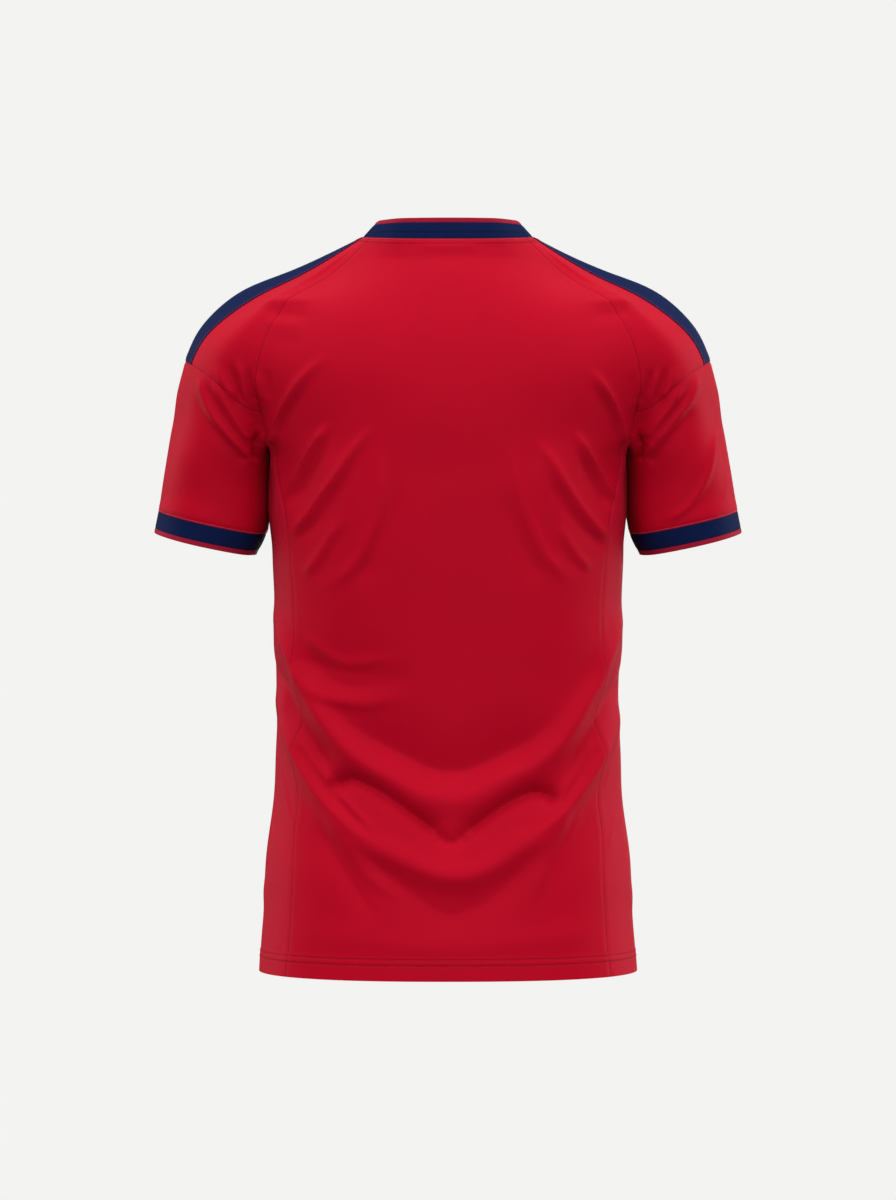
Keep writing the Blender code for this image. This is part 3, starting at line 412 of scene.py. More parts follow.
# ---------------------------------------------------------------- seams, hems and stitches
HEM_LINES = (0.0140, 0.0195)  # heights of the rows of stitches above the hem
NECK_TOPSTITCH = 0.0055      # and the distances of the others from their seams and edges
SEAM_LINE = 0.0011
BAND_TOPSTITCH = 0.0019
# The pale stitches along the collar and cuff seams are a painted highlight, packed close to read as
# one light line.
DENSE_PITCH = 0.5            # the collar and cuff seams' stitches lie closer and are shorter:
DENSE_LENGTH = 0.6           # shares of the others' pitch and length
SEAM_DEPTH = 0.00020         # how deep and how far to each hand the cloth sinks at a seam
SEAM_REACH = 0.0017
SEAM_ROLL = 0.00028          # the seam allowance felt through the cloth beside the seam
SEAM_ROLL_PLACE = 0.0045
SEAM_ROLL_REACH = 0.0026
PUCKER_REACH = 0.008         # how far from a seam its puckers reach, and how long one is
PUCKER_LENGTH = 0.011
WAVE_LENGTH = 0.075          # of the soft unevenness between the folds
HEM_THICKENING = 0.00045     # the turned-up layer behind the hem
CORNER_LIMIT = 0.8           # keeps the step into a piece's acute corner short
SHARED_NORMAL_ANGLE = 40.0   # degrees: pieces that meet more steeply keep their own normals
SHARP_ANGLE = 50.0           # degrees: steeper edges, such as a rim's, are shaded sharp

# A stitch is a bead of thread whose ends dive into the cloth. Along it, as shares of its length:
# how high its middle lies and its radius, as shares of the thread's diameter.
STITCH_SHARES = np.array((0.0, 0.28, 0.72, 1.0))
STITCH_HEIGHTS = np.array((-0.35, 0.30, 0.30, -0.35))
STITCH_RADII = np.array((0.28, 0.50, 0.50, 0.28))
STITCH_SIDES = 5

# The outside of the cloth. numbers: of each face's panel in panels. grain: a face's four corners
# laid flat along the knit. marks: each point's distances for the cloth's look, as MARKS says.
Form = namedtuple("Form", "points normals faces numbers panels grain marks")
MARKS = ("from_seam", "from_neck", "above_hem")


# ---------------------------------------------------------------- settings
class JerseyCloth(bpy.types.PropertyGroup):
    """Sizes of the cloth and its folds."""
    thickness: FloatProperty(
        name="Thickness", description="Thickness of the knitted cloth",
        default=0.0008, min=0.0003, max=0.0015, unit="LENGTH")
    band_thickness: FloatProperty(
        name="Band thickness", description="Thickness of the band sewn on each shoulder",
        default=0.0006, min=0.0003, max=0.0012, unit="LENGTH")
    seam_gap: FloatProperty(
        name="Seam gap", description="Width left open where two pieces meet",
        default=0.00003, min=0.0, max=0.001, unit="LENGTH", precision=6)
    fold_depth: FloatProperty(
        name="Fold depth", description="Depth of all folds, 1 as the jersey hangs",
        default=1.0, min=0.0, max=1.4, subtype="FACTOR")
    waviness: FloatProperty(
        name="Waviness", description="Height of the soft unevenness between the folds",
        default=0.0009, min=0.0, max=0.003, unit="LENGTH")
    pucker: FloatProperty(
        name="Pucker", description="Height of the small puckers along a seam",
        default=0.0003, min=0.0, max=0.001, unit="LENGTH")
    steps: IntProperty(
        name="Mesh steps", description="How many times each span of the cloth is halved",
        default=4, min=1, max=4)


class JerseyColours(bpy.types.PropertyGroup):
    """Colours of the cloth and thread."""
    body: FloatVectorProperty(
        name="Body", description="Knit of the body and sleeves", subtype="COLOR", size=3,
        default=(0.432, 0.0010, 0.0150), min=0.0, max=1.0)
    sides: FloatVectorProperty(
        name="Sides", description="Mesh of the side panels", subtype="COLOR", size=3,
        default=(0.475, 0.0030, 0.0210), min=0.0, max=1.0)
    trim: FloatVectorProperty(
        name="Trim", description="Rib of the collar and cuffs, and the shoulder bands",
        subtype="COLOR", size=3, default=(0.0048, 0.0132, 0.0680), min=0.0, max=1.0)
    edging: FloatVectorProperty(
        name="Edging", description="Edging of the collar and cuffs", subtype="COLOR", size=3,
        default=(0.320, 0.0080, 0.0280), min=0.0, max=1.0)
    thread: FloatVectorProperty(
        name="Thread", description="Thread of the hem and the bands", subtype="COLOR", size=3,
        default=(0.360, 0.0040, 0.0160), min=0.0, max=1.0)
    # painted highlight: this paler thread stands for the light caught by the cloth's rolled edge
    # along the collar and cuff seams
    seam_thread: FloatVectorProperty(
        name="Seam thread", description="Paler thread along the collar and cuff seams",
        subtype="COLOR", size=3, default=(0.560, 0.0600, 0.1000), min=0.0, max=1.0)


class JerseyStitches(bpy.types.PropertyGroup):
    """Sizes of the stitching."""
    pitch: FloatProperty(
        name="Pitch", description="From one stitch to the next", default=0.0032,
        min=0.001, max=0.01, unit="LENGTH")
    length: FloatProperty(
        name="Length", description="Length of one stitch", default=0.0025,
        min=0.0005, max=0.009, unit="LENGTH")
    thread: FloatProperty(
        name="Thread", description="Diameter of the thread", default=0.00050,
        min=0.0002, max=0.001, unit="LENGTH")


class JerseyStudio(bpy.types.PropertyGroup):
    """The camera, the lights and the floor."""
    distance: FloatProperty(
        name="Camera distance", description="From the jersey's middle to the camera",
        default=3.6, min=1.0, max=10.0, unit="LENGTH")
    height: FloatProperty(
        name="Camera height", description="Height of the level camera", default=-0.342,
        min=-2.0, max=2.0, unit="LENGTH")
    lens: FloatProperty(
        name="Lens", description="Focal length on a 36 mm sensor, in millimetres",
        default=113.68, min=20.0, max=300.0)
    floor_height: FloatProperty(
        name="Floor height", description="Height of the floor below the jersey",
        default=-1.75, min=-4.0, max=-0.7, unit="LENGTH")
    strip_power: FloatProperty(
        name="Strips", description="Power of the light at each side", default=21.0,
        min=0.0, max=1000.0, unit="POWER")
    fill_power: FloatProperty(
        name="Fill", description="Power of the light ahead and behind", default=18.0,
        min=0.0, max=1000.0, unit="POWER")
    surround: FloatProperty(
        name="Surround", description="Brightness of the pale surround", default=0.896,
        min=0.0, max=4.0)
    ambient: FloatProperty(
        name="Ambient", description="Strength of the even light from all round",
        default=0.34, min=0.0, max=4.0)
    sky: FloatProperty(
        name="Sky", description="Strength of the light that grows towards straight above",
        default=2.40, min=0.0, max=8.0)


# ---------------------------------------------------------------- sections
def superellipse_rest(share, squareness):
    """The other coordinate, as a share of its own reach, of a superellipse's point."""
    return (1.0 - min(abs(share), 1.0) ** squareness) ** (1.0 / squareness)


def signed_power(value, power):
    """The power of a value's size, with the value's sign."""
    return np.sign(value) * abs(value) ** power


def column_share(column):
    """How far a back or front column lies from the centre line, 0, to its seam, 1."""
    columns = BACK if column in BACK else FRONT[::-1]
    return columns.index(column) / (len(columns) - 1)


def neck_height(y):
    """Height of the neck seam where it passes the given depth."""
    if y < NECK_CENTRE_Y:
        share = (NECK_CENTRE_Y - y) / NECK_BACK_REACH
        return NECK_SIDE_Z - NAPE_FALL * share ** NAPE_CURVE
    share = (y - NECK_CENTRE_Y) / NECK_FRONT_REACH
    return NECK_SIDE_Z - THROAT_FALL * share ** THROAT_CURVE


def neck_point(column):
    """A point of the neck seam."""
    if column in NECK_Y:
        y = NECK_Y[column]
        reach = NECK_BACK_REACH if y < NECK_CENTRE_Y else NECK_FRONT_REACH
        x = NECK_HALF_WIDTH * superellipse_rest((y - NECK_CENTRE_Y) / reach, NECK_SQUARENESS)
        return np.array((x, y, neck_height(y)))
    corner = "b4" if column in BACK else "f3"
    share = column_share(column)
    x = neck_point(corner)[0] * (share if column in BACK else share ** THROAT_SPACING)
    rest = superellipse_rest(x / NECK_HALF_WIDTH, NECK_SQUARENESS)
    y = NECK_CENTRE_Y - NECK_BACK_REACH * rest
    if column in FRONT:
        y = NECK_CENTRE_Y + NECK_FRONT_REACH * rest
    return np.array((x, y, neck_height(y)))


def yoke_point(yoke, column):
    """A point of a section above the underarm."""
    if column in ("b4", "f3"):
        return np.array(yoke.back_seam if column == "b4" else yoke.front_seam)
    if column in BACK or column in FRONT:
        seam = np.array(yoke.back_seam if column in BACK else yoke.front_seam)
        middle_y, middle_z = yoke.spine if column in BACK else yoke.breast
        share = column_share(column)
        y = middle_y + (seam[1] - middle_y) * share ** TORSO_SQUARENESS
        z = middle_z + (seam[2] - middle_z) * share ** 2
        return np.array((seam[0] * share, y, z))
    top = np.array(yoke.top)
    if column == "a3":
        return top
    behind = column in ("a1", "a2")
    seam = np.array(yoke.back_seam if behind else yoke.front_seam)
    edge = column in ("a2", "a4")
    point = seam + (top - seam) * (yoke.edge_fall if edge else yoke.mid_fall)
    if edge:
        point[1] = top[1] + (-yoke.edge_half if behind else yoke.edge_half)
    else:
        point[1] = yoke.mid_y[0] if behind else yoke.mid_y[1]
    return point


def torso_point(torso, column):
    """A point of a level section below the underarm."""
    behind = column in BACK or column == "q1"
    depth = torso.back_depth if behind else torso.front_depth
    seam_x = torso.back_seam_x if behind else torso.half_width * FRONT_SEAM_SHARE
    if column in BACK or column in FRONT:
        x = seam_x * column_share(column)
        y = depth * superellipse_rest(x / torso.half_width, TORSO_SQUARENESS)
    elif column == "q2":
        x, y = torso.half_width, 0.0
    else:
        seam_y = depth * superellipse_rest(seam_x / torso.half_width, TORSO_SQUARENESS)
        y = seam_y * SIDE_MIDDLE_SHARE
        x = torso.half_width * superellipse_rest(y / depth, TORSO_SQUARENESS)
    return np.array((x, -y if behind else y, torso.z))


def sleeve_point(ring, column):
    """A point of a sleeve's ring, which leans with the arm."""
    angle = np.radians(SLEEVE_ANGLES[column])
    across = signed_power(np.cos(angle), 2.0 / SLEEVE_SQUARENESS)
    along = signed_power(np.sin(angle), 2.0 / SLEEVE_SQUARENESS)
    outer = np.array((ring.outer[0], 0.0, ring.outer[1]))
    inner = np.array((ring.inner[0], 0.0, ring.inner[1]))
    point = (outer + inner) / 2.0 + (outer - inner) / 2.0 * across
    point[1] = ring.centre_y + ring.half_depth * along
    point[2] += ring.back_droop * along
    return point


def collar_points(neck_loop, height):
    """The neck seam's loop, moved up its own tilted band by the given height."""
    ahead = np.roll(neck_loop, -1, axis=0)
    behind = np.roll(neck_loop, 1, axis=0)
    tangent = ahead - behind
    tangent /= np.linalg.norm(tangent, axis=1)[:, None]
    up = np.array((0.0, 0.0, 1.0)) - tangent * tangent[:, 2:3]
    outward = np.cross(tangent, (0.0, 0.0, 1.0))
    outward /= np.linalg.norm(outward, axis=1)[:, None]
    outward *= np.sign(np.sum(outward[:, :2] * (neck_loop[:, :2] - (0.0, NECK_CENTRE_Y)),
                              axis=1))[:, None]
    forward = neck_loop[:, 1:2] - NECK_CENTRE_Y
    centre_lean = np.where(forward < 0.0, NAPE_LEAN, THROAT_LEAN)
    reach = np.where(forward < 0.0, NECK_BACK_REACH, NECK_FRONT_REACH)
    lean = SIDE_LEAN + (centre_lean - SIDE_LEAN) * (forward / reach) ** 2
    rise = up - outward * lean
    rise /= np.linalg.norm(rise, axis=1)[:, None]
    return neck_loop + rise * height


# ---------------------------------------------------------------- meshes
def new_object(name, points, faces):
    """A smooth-shaded mesh object in the scene."""
    mesh = bpy.data.meshes.new(name)
    mesh.from_pydata(points, [], faces)
    mesh.shade_smooth()
    made = bpy.data.objects.new(name, mesh)
    bpy.context.scene.collection.objects.link(made)
    return made


def values_of(items, name, size=1, kind=np.float32):
    """A named value of each item in turn; size says how many numbers one value has."""
    values = np.empty(len(items) * size, dtype=kind)
    items.foreach_get(name, values)
    return values


def ring_faces(rings, sides):
    """Point numbers of rings of points, one ring to a row, and the faces between the rings."""
    number = np.arange(rings * sides).reshape(rings, sides)
    ahead = np.roll(number, -1, axis=1)
    faces = np.stack((number[:-1], ahead[:-1], ahead[1:], number[1:]), axis=-1)
    return number, faces.reshape(-1, 4)


# ---------------------------------------------------------------- the cage
def cage_key(column, row, limb):
    """The sleeve's first ring is the body's underarm row."""
    return (column, row, "body") if row <= UNDERARM_ROW else (column, row, limb)


def half_points():
    """Points of the right half, from the neck seam down, as {(column, row, limb): point}."""
    points = {}
    for column in NECK_COLUMNS:
        points[(column, 0, "body")] = neck_point(column)
        for row, yoke in enumerate(YOKE, start=1):
            points[(column, row, "body")] = yoke_point(yoke, column)
    for column, point in zip(UNDER[1:-1], UNDERARM):
        points[(column, UNDERARM_ROW, "body")] = np.array(point)
    for row, torso in enumerate(TORSO, start=UNDERARM_ROW + 1):
        for column in BACK + UNDER[1:-1] + FRONT:
            points[(column, row, "body")] = torso_point(torso, column)
    for row, ring in enumerate(SLEEVE, start=UNDERARM_ROW + 1):
        for column in SLEEVE_ANGLES:
            points[(column, row, "arm")] = sleeve_point(ring, column)
    return points


def run_length(points, keys):
    """Length along the cage from the first key to each key, where the points are known."""
    lengths = [0.0]
    for here, there in pairwise(keys):
        step = 0.0
        if here in points and there in points:
            step = float(np.linalg.norm(points[there] - points[here]))
        lengths.append(lengths[-1] + step)
    return np.array(lengths)


def half_faces(points):
    """(panel, corner keys, grain) of each face of the right half.

    The grain is in metres: across the knit from the panel's middle, and up it from the panel's
    lower end."""
    faces = []

    def strip(columns, rows, limb, panel, middle, last_row):
        for upper, lower in pairwise(rows):
            across = {}
            for row in (upper, lower):
                lengths = run_length(points, [cage_key(c, row, limb) for c in columns])
                across[row] = lengths - lengths[columns.index(middle)]
            for place, (left, right) in enumerate(pairwise(columns)):
                name = panel
                if panel == "shoulder_panel" and (left, right) in BAND_SPANS:
                    name = "shoulder_band"
                corners = ((left, upper, place), (left, lower, place),
                           (right, lower, place + 1), (right, upper, place + 1))
                keys = [cage_key(column, row, limb) for column, row, _ in corners]
                grain = [(across[row][where], up_from_end(points, column, row, limb, last_row))
                         for column, row, where in corners]
                faces.append((name, keys, grain))

    ring = UNDER[2:3] + UNDER[1:2] + SHOULDER + UNDER[3:4] + UNDER[2:3]
    strip(BACK, range(HEM_ROW + 1), "body", "back_panel", "b0", HEM_ROW)
    strip(FRONT, range(HEM_ROW + 1), "body", "front_panel", "f0", HEM_ROW)
    strip(UNDER, range(UNDERARM_ROW, HEM_ROW + 1), "body", "side_panel", "q2", HEM_ROW)
    strip(SHOULDER, range(SLEEVE_SEAM_ROW + 1), "arm", "shoulder_panel", "a3", CUFF_END_ROW)
    strip(SHOULDER, (SLEEVE_SEAM_ROW, UNDERARM_ROW), "arm", "sleeve", "a3", CUFF_END_ROW)
    for panel, first, last in (("sleeve", UNDERARM_ROW, FIRST_CUFF_ROW),
                               ("cuff", FIRST_CUFF_ROW, FIRST_CUFF_EDGE_ROW),
                               ("cuff_edge", FIRST_CUFF_EDGE_ROW, CUFF_END_ROW)):
        strip(ring, range(first, last + 1), "arm", panel, "a3", CUFF_END_ROW)
    for row, panel in ((-1, "collar_band"), (-2, "collar_edge")):
        strip(NECK_COLUMNS, (row, row + 1), "body", panel, "b0", 0)
    return faces


def up_from_end(points, column, row, limb, last_row):
    """Length up a column from its lower end; above the neck seam it is the collar's height."""
    if row <= 0 and last_row == 0:
        return {0: 0.0, -1: COLLAR_HEIGHT, -2: COLLAR_HEIGHT + COLLAR_EDGE_HEIGHT}[row]
    keys = [cage_key(column, r, limb) for r in range(last_row, row - 1, -1)]
    return run_length(points, keys)[-1]


def full_key(column, row, limb, side):
    """Key of a point of the whole jersey; a centre column has no side."""
    return column, row, limb, 0 if column in CENTRE_COLUMNS else side


def neck_loop_keys(row):
    """Keys all the way round the neck, from the nape over the right shoulder."""
    right = [full_key(column, row, "body", 1) for column in NECK_COLUMNS]
    left = [full_key(column, row, "body", -1) for column in NECK_COLUMNS[-2:0:-1]]
    return right + left


def whole_cage():
    """Points by key, quads as point numbers, and each quad's panel name and grain."""
    half = half_points()
    points = {}
    for (column, row, limb), point in half.items():
        for side in (1, -1):
            key = full_key(column, row, limb, side)
            points[key] = point * ((key[3] or 1), 1, 1)
    loop = np.array([points[key] for key in neck_loop_keys(0)])
    for row, height in ((-1, COLLAR_HEIGHT), (-2, COLLAR_HEIGHT + COLLAR_EDGE_HEIGHT)):
        for key, point in zip(neck_loop_keys(row), collar_points(loop, height)):
            points[key] = point
            if key[3] >= 0:
                half[key[:3]] = point
    index = {key: number for number, key in enumerate(points)}
    quads, names, grains = [], [], []
    for side, suffix in ((1, "_right"), (-1, "_left")):
        for name, keys, grain in half_faces(half):
            quad = [index[full_key(*key, side)] for key in keys]
            quads.append(quad if side > 0 else quad[::-1])
            grain = [(across * side, up) for across, up in grain]
            grains.append(grain if side > 0 else grain[::-1])
            lone = name in ("back_panel", "front_panel", "collar_band", "collar_edge")
            names.append(name if lone else name + suffix)
    return points, index, quads, names, grains


def cage_through(targets, quads, sharp_edges):
    """A cage whose smooth surface passes through the target points."""
    edge_faces = {}
    diagonals = [[] for _ in targets]
    for quad in quads:
        for corner in range(4):
            edge = tuple(sorted((quad[corner], quad[(corner + 1) % 4])))
            edge_faces.setdefault(edge, []).append(quad)
            diagonals[quad[corner]].append(quad[(corner + 2) % 4])
    neighbours = [[] for _ in targets]
    sharp = [[] for _ in targets]
    for edge, shared in edge_faces.items():
        for here, there in (edge, edge[::-1]):
            neighbours[here].append(there)
            if len(shared) == 1 or edge in sharp_edges:
                sharp[here].append(there)
    # each point of the smooth surface as a weighted mean of the cage's points round it
    weights = np.zeros((len(targets), len(targets)))
    for here in range(len(targets)):
        if sharp[here]:
            weights[here, here] = 4.0 / 6.0
            weights[here, sharp[here]] += 1.0 / 6.0
            continue
        valence = len(neighbours[here])
        total = valence * (valence + 5.0)
        weights[here, here] = valence ** 2 / total
        weights[here, neighbours[here]] += 4.0 / total
        weights[here, diagonals[here]] += 1.0 / total
    cage = targets.copy()
    for _ in range(CAGE_ROUNDS):
        cage += targets - weights @ cage
    return cage


def arm_share(key):
    """How much of a cage point belongs to the arm, from 0 to 1."""
    column, row, limb, _ = key
    if limb == "arm" or (row >= SLEEVE_SEAM_ROW and column in SHOULDER[1:-1]):
        return 1.0
    if column in SHOULDER[1:-1]:
        return max(row - 1, 0) / SLEEVE_SEAM_ROW
    on_seam = row == UNDERARM_ROW and column in UNDER
    return 0.5 if on_seam else 0.0


@cache
def plain_form(steps):
    """The smooth outside of the jersey without folds, and each point's share of the arm."""
    points, index, quads, names, grains = whole_cage()
    panels = sorted(set(names))
    loop = [index[key] for key in neck_loop_keys(0)]
    neck = {tuple(sorted(edge)) for edge in zip(loop, loop[1:] + loop[:1])}
    cage = cage_through(np.array(list(points.values())), quads, neck)
    holder = new_object("jersey_cage", cage.tolist(), quads)
    mesh = holder.data
    for _ in panels:
        mesh.materials.append(None)
    mesh.polygons.foreach_set("material_index", [panels.index(name) for name in names])
    grain = mesh.uv_layers.new(name="grain")
    grain.uv.foreach_set("vector", np.array(grains, dtype=np.float32).ravel())
    arm = mesh.attributes.new("arm", "FLOAT", "POINT")
    arm.data.foreach_set("value", [arm_share(key) for key in points])
    crease = mesh.attributes.new("crease_edge", "FLOAT", "EDGE")
    crease.data.foreach_set("value", [float(tuple(sorted(edge.vertices)) in neck)
                                      for edge in mesh.edges])
    smooth = holder.modifiers.new("Smooth", "SUBSURF")
    smooth.levels = smooth.render_levels = steps
    smooth.use_limit_surface = True
    smooth.boundary_smooth = "ALL"
    smooth.uv_smooth = "NONE"
    surface = holder.evaluated_get(bpy.context.evaluated_depsgraph_get()).to_mesh()
    points = values_of(surface.vertices, "co", 3).reshape(-1, 3).astype(float)
    corners = values_of(surface.loops, "vertex_index", kind=np.int32).reshape(-1, 4)
    numbers = values_of(surface.polygons, "material_index", kind=np.int32)
    grain = values_of(surface.uv_layers["grain"].uv, "vector", 2).reshape(-1, 4, 2)
    arms = values_of(surface.attributes["arm"].data, "value")
    bpy.data.objects.remove(holder)
    bpy.data.meshes.remove(mesh)
    return Form(points, None, corners, numbers, panels, grain, None), arms


# ---------------------------------------------------------------- folds, seams and hems
def vertex_normals(points, faces):
    """Unit normals, weighted by area, of the points that the faces use."""
    first, second, third, fourth = (points[faces[:, k]] for k in range(4))
    face_normals = np.cross(third - first, fourth - second)
    normals = np.empty_like(points)
    corners = faces.ravel()
    for axis in range(3):
        weights = np.repeat(face_normals[:, axis], 4)
        normals[:, axis] = np.bincount(corners, weights, minlength=len(points))
    lengths = np.linalg.norm(normals, axis=1)
    return normals / np.where(lengths > 0.0, lengths, 1.0)[:, None]


def rounded(line, samples=6):
    """A smooth line through the given points."""
    points = np.array(line, dtype=float)
    padded = np.vstack((2 * points[0] - points[1], points, 2 * points[-1] - points[-2]))
    made = []
    for before, start, end, after in zip(padded, padded[1:], padded[2:], padded[3:]):
        for share in np.arange(samples) / samples:
            made.append(start + 0.5 * share * (
                end - before + share * (2 * before - 5 * start + 4 * end - after
                                        + share * (3 * (start - end) + after - before))))
    return np.array(made + [points[-1]])


def ramp(value):
    """A smooth rise from 0 to 1."""
    value = np.clip(value, 0.0, 1.0)
    return value * value * (3.0 - 2.0 * value)


def seen_flat(points, normals, side):
    """The points as seen flat from a side, and how well the cloth there faces that side."""
    if side in GIRTH:
        way = GIRTH[side] * points[:, 1] / GIRTH_HALF_DEPTH
        turn = np.arctan2(points[:, 0] / GIRTH_HALF_WIDTH, way) * GIRTH_RADIUS
        return np.column_stack((turn, points[:, 2])), np.ones(len(points))
    direction = np.array(SIDES[side], dtype=float)
    facing = ramp(normals @ direction / FACING_FULL)
    return points[:, [0 if direction[0] == 0 else 1, 2]], facing


def fold_heights(points, normals, arms):
    """How far the folds lift each point out of the plain form."""
    limbs = {"body": 1.0 - ramp(2.0 * arms - 1.0), "arm": ramp(2.0 * arms),
             "any": np.ones(len(arms))}
    heights = np.zeros(len(points))
    for side in (*SIDES, *GIRTH):
        flat, facing = seen_flat(points, normals, side)
        for fold in (fold for fold in FOLDS if fold.side == side):
            line = rounded(fold.line) * FOLD_UNIT
            reach = FOLD_REACH * max(fold.above, fold.below) * FOLD_UNIT
            near = facing * limbs[fold.limb] > 0.0
            near &= np.all(flat > line.min(axis=0) - reach, axis=1)
            near &= np.all(flat < line.max(axis=0) + reach, axis=1)
            chosen = np.flatnonzero(near)
            heights[chosen] += (fold.height * facing[chosen] * limbs[fold.limb][chosen]
                                * fold_profile(flat[chosen], line, fold))
    return heights * FOLD_UNIT


def fold_profile(flat, line, fold):
    """A fold's height at flat points, as a share: full on its line, and less to each hand."""
    nearest = np.full(len(flat), np.inf)
    place = np.zeros(len(flat))
    above = np.zeros(len(flat), dtype=bool)
    walked = 0.0
    for start, end in pairwise(line):
        run = end - start
        length = np.linalg.norm(run)
        offset = flat - start
        share = np.clip(offset @ run / (run @ run), 0.0, 1.0)
        distance = np.linalg.norm(offset - share[:, None] * run, axis=1)
        closer = distance < nearest
        nearest[closer] = distance[closer]
        place[closer] = walked + share[closer] * length
        cross = run[0] * offset[:, 1] - run[1] * offset[:, 0]
        above[closer] = cross[closer] > 0.0
        walked += length
    place /= walked
    width = np.where(above, fold.above, fold.below) * FOLD_UNIT
    ends = ramp(place / fold.rise) * ramp((1.0 - place) / fold.fall)
    return ends * np.exp(-(nearest / width) ** (CREST_POWER if fold.height > 0 else FURROW_POWER))


def distance_from(points, targets):
    """Distance from each point to the nearest target."""
    tree = kdtree.KDTree(len(targets))
    for number, target in enumerate(targets):
        tree.insert(target, number)
    tree.balance()
    return np.array([tree.find(point)[2] for point in points])


def uneven(points, wave_length):
    """Smooth noise from -1 to 1 whose waves have about the given length."""
    scaled = points / wave_length
    return np.array([noise.noise(Vector(point)) for point in scaled])


def shared_points(form, first, second):
    """Numbers of the points where two groups of panels meet."""
    return np.intersect1d(form.faces[in_panels(form, first)],
                          form.faces[in_panels(form, second)])


def in_panels(form, names):
    """Which faces lie in panels whose names start with one of the given names."""
    wanted = [number for number, panel in enumerate(form.panels) if panel.startswith(names)]
    return np.isin(form.numbers, wanted)


def neck_points(form):
    """Numbers of the points on the neck seam."""
    return shared_points(form, ("collar_band",), ("back", "front", "shoulder"))


def seam_points(form):
    """Numbers of the points on any seam. A shoulder band lies on its panel and has none."""
    owner = form.numbers.copy()
    for number, panel in enumerate(form.panels):
        if panel.startswith("shoulder_band"):
            owner[form.numbers == number] = form.panels.index(panel.replace("band", "panel"))
    lowest = np.full(len(form.points), len(form.panels))
    highest = np.full(len(form.points), -1)
    for corner in range(4):
        np.minimum.at(lowest, form.faces[:, corner], owner)
        np.maximum.at(highest, form.faces[:, corner], owner)
    return np.flatnonzero(lowest < highest)


def bump(distance, reach):
    """A smooth hump of height 1 at no distance."""
    return np.exp(-(distance / reach) ** 2)


@cache
def draped_form(steps, fold_depth, waviness, pucker):
    """The outside of the cloth with its folds, seams and hem."""
    form, arms = plain_form(steps)
    normals = vertex_normals(form.points, form.faces)
    collar = in_panels(form, ("collar", "cuff"))
    soft = np.ones(len(form.points))
    soft[form.faces[collar]] = 0.0
    lift = fold_heights(form.points, normals, arms) * fold_depth
    lift += uneven(form.points, WAVE_LENGTH) * waviness * soft
    points = form.points + normals * lift[:, None]
    normals = vertex_normals(points, form.faces)
    seam = distance_from(points, points[seam_points(form)])
    press = -SEAM_DEPTH * bump(seam, SEAM_REACH)
    press += SEAM_ROLL * bump(seam - SEAM_ROLL_PLACE, SEAM_ROLL_REACH) * soft
    press += uneven(points, PUCKER_LENGTH) * pucker * bump(seam, PUCKER_REACH) * soft
    above_hem = points[:, 2] - TORSO[-1].z
    press += HEM_THICKENING * ramp((HEM_LINES[1] + SEAM_REACH - above_hem) / SEAM_REACH)
    from_neck = distance_from(points, points[neck_points(form)])
    marks = np.stack((seam, from_neck, above_hem), axis=1)
    points = points + normals * press[:, None]
    return form._replace(points=points, normals=vertex_normals(points, form.faces), marks=marks)


def current_form():
    """The draped form with the settings of the scene."""
    cloth = bpy.context.scene.jersey_cloth
    return draped_form(cloth.steps, cloth.fold_depth, cloth.waviness, cloth.pucker)


# ---------------------------------------------------------------- cutting out and sewing
def rim_edges(faces):
    """(face, corner) of each edge that only one face has, in the face's own direction."""
    start = faces
    end = np.roll(faces, -1, axis=1)
    size = int(faces.max()) + 1
    forward = start.astype(np.int64) * size + end
    backward = end.astype(np.int64) * size + start
    return np.nonzero(~np.isin(forward, backward))


def seam_steps(points, faces, normals):
    """Unit step from each rim point into the piece, longer at a corner."""
    face, corner = rim_edges(faces)
    start = faces[face, corner]
    end = faces[face, (corner + 1) % 4]
    run = points[end] - points[start]
    total = np.zeros_like(points)
    for vertex in (start, end):
        inward = np.cross(normals[vertex], run)
        inward /= np.linalg.norm(inward, axis=1)[:, None]
        np.add.at(total, vertex, inward)
    square = np.maximum(np.sum(total * total, axis=1) / 2.0, CORNER_LIMIT)
    return total / square[:, None]


def shell(name, outer, inner, faces, grain, marks):
    """One closed object between two skins of the same faces."""
    used, local = np.unique(faces, return_inverse=True)
    local = local.reshape(faces.shape)
    face, corner = rim_edges(local)
    following = (corner + 1) % 4
    start, end = local[face, corner], local[face, following]
    rim = np.stack((end, start, start + len(used), end + len(used)), axis=1)
    quads = np.vstack((local, local[:, ::-1] + len(used), rim))
    rim_grain = np.stack((grain[face, following], grain[face, corner],
                          grain[face, corner], grain[face, following]), axis=1)
    uv = np.vstack((grain, grain[:, ::-1], rim_grain))
    piece = new_object(name, np.vstack((outer[used], inner[used])).tolist(), quads.tolist())
    mesh = piece.data
    mesh.uv_layers.new(name="grain").uv.foreach_set("vector", uv.astype(np.float32).ravel())
    for mark, values in zip(MARKS, np.tile(marks[used], (2, 1)).T):
        mesh.attributes.new(mark, "FLOAT", "POINT").data.foreach_set("value", values)
    mesh.set_sharp_from_angle(angle=np.radians(SHARP_ANGLE))
    return piece


def cut_panel(form, node):
    """The cloth of one CAD node, a hair short of its neighbours at each seam."""
    cloth = bpy.context.scene.jersey_cloth
    names = (node, node.replace("panel", "band")) if "shoulder" in node else (node,)
    chosen = np.isin(form.numbers, [form.panels.index(name) for name in names])
    faces = form.faces[chosen]
    own = vertex_normals(form.points, faces)
    agree = np.sum(own * form.normals, axis=1) > np.cos(np.radians(SHARED_NORMAL_ANGLE))
    normals = np.where(agree[:, None], form.normals, own)
    outer = form.points + seam_steps(form.points, faces, own) * cloth.seam_gap / 2.0
    outer -= own * np.where(agree, 0.0, cloth.seam_gap / 2.0)[:, None]
    return shell(f"{node}_cloth", outer, outer - normals * cloth.thickness, faces,
                 form.grain[chosen], form.marks)


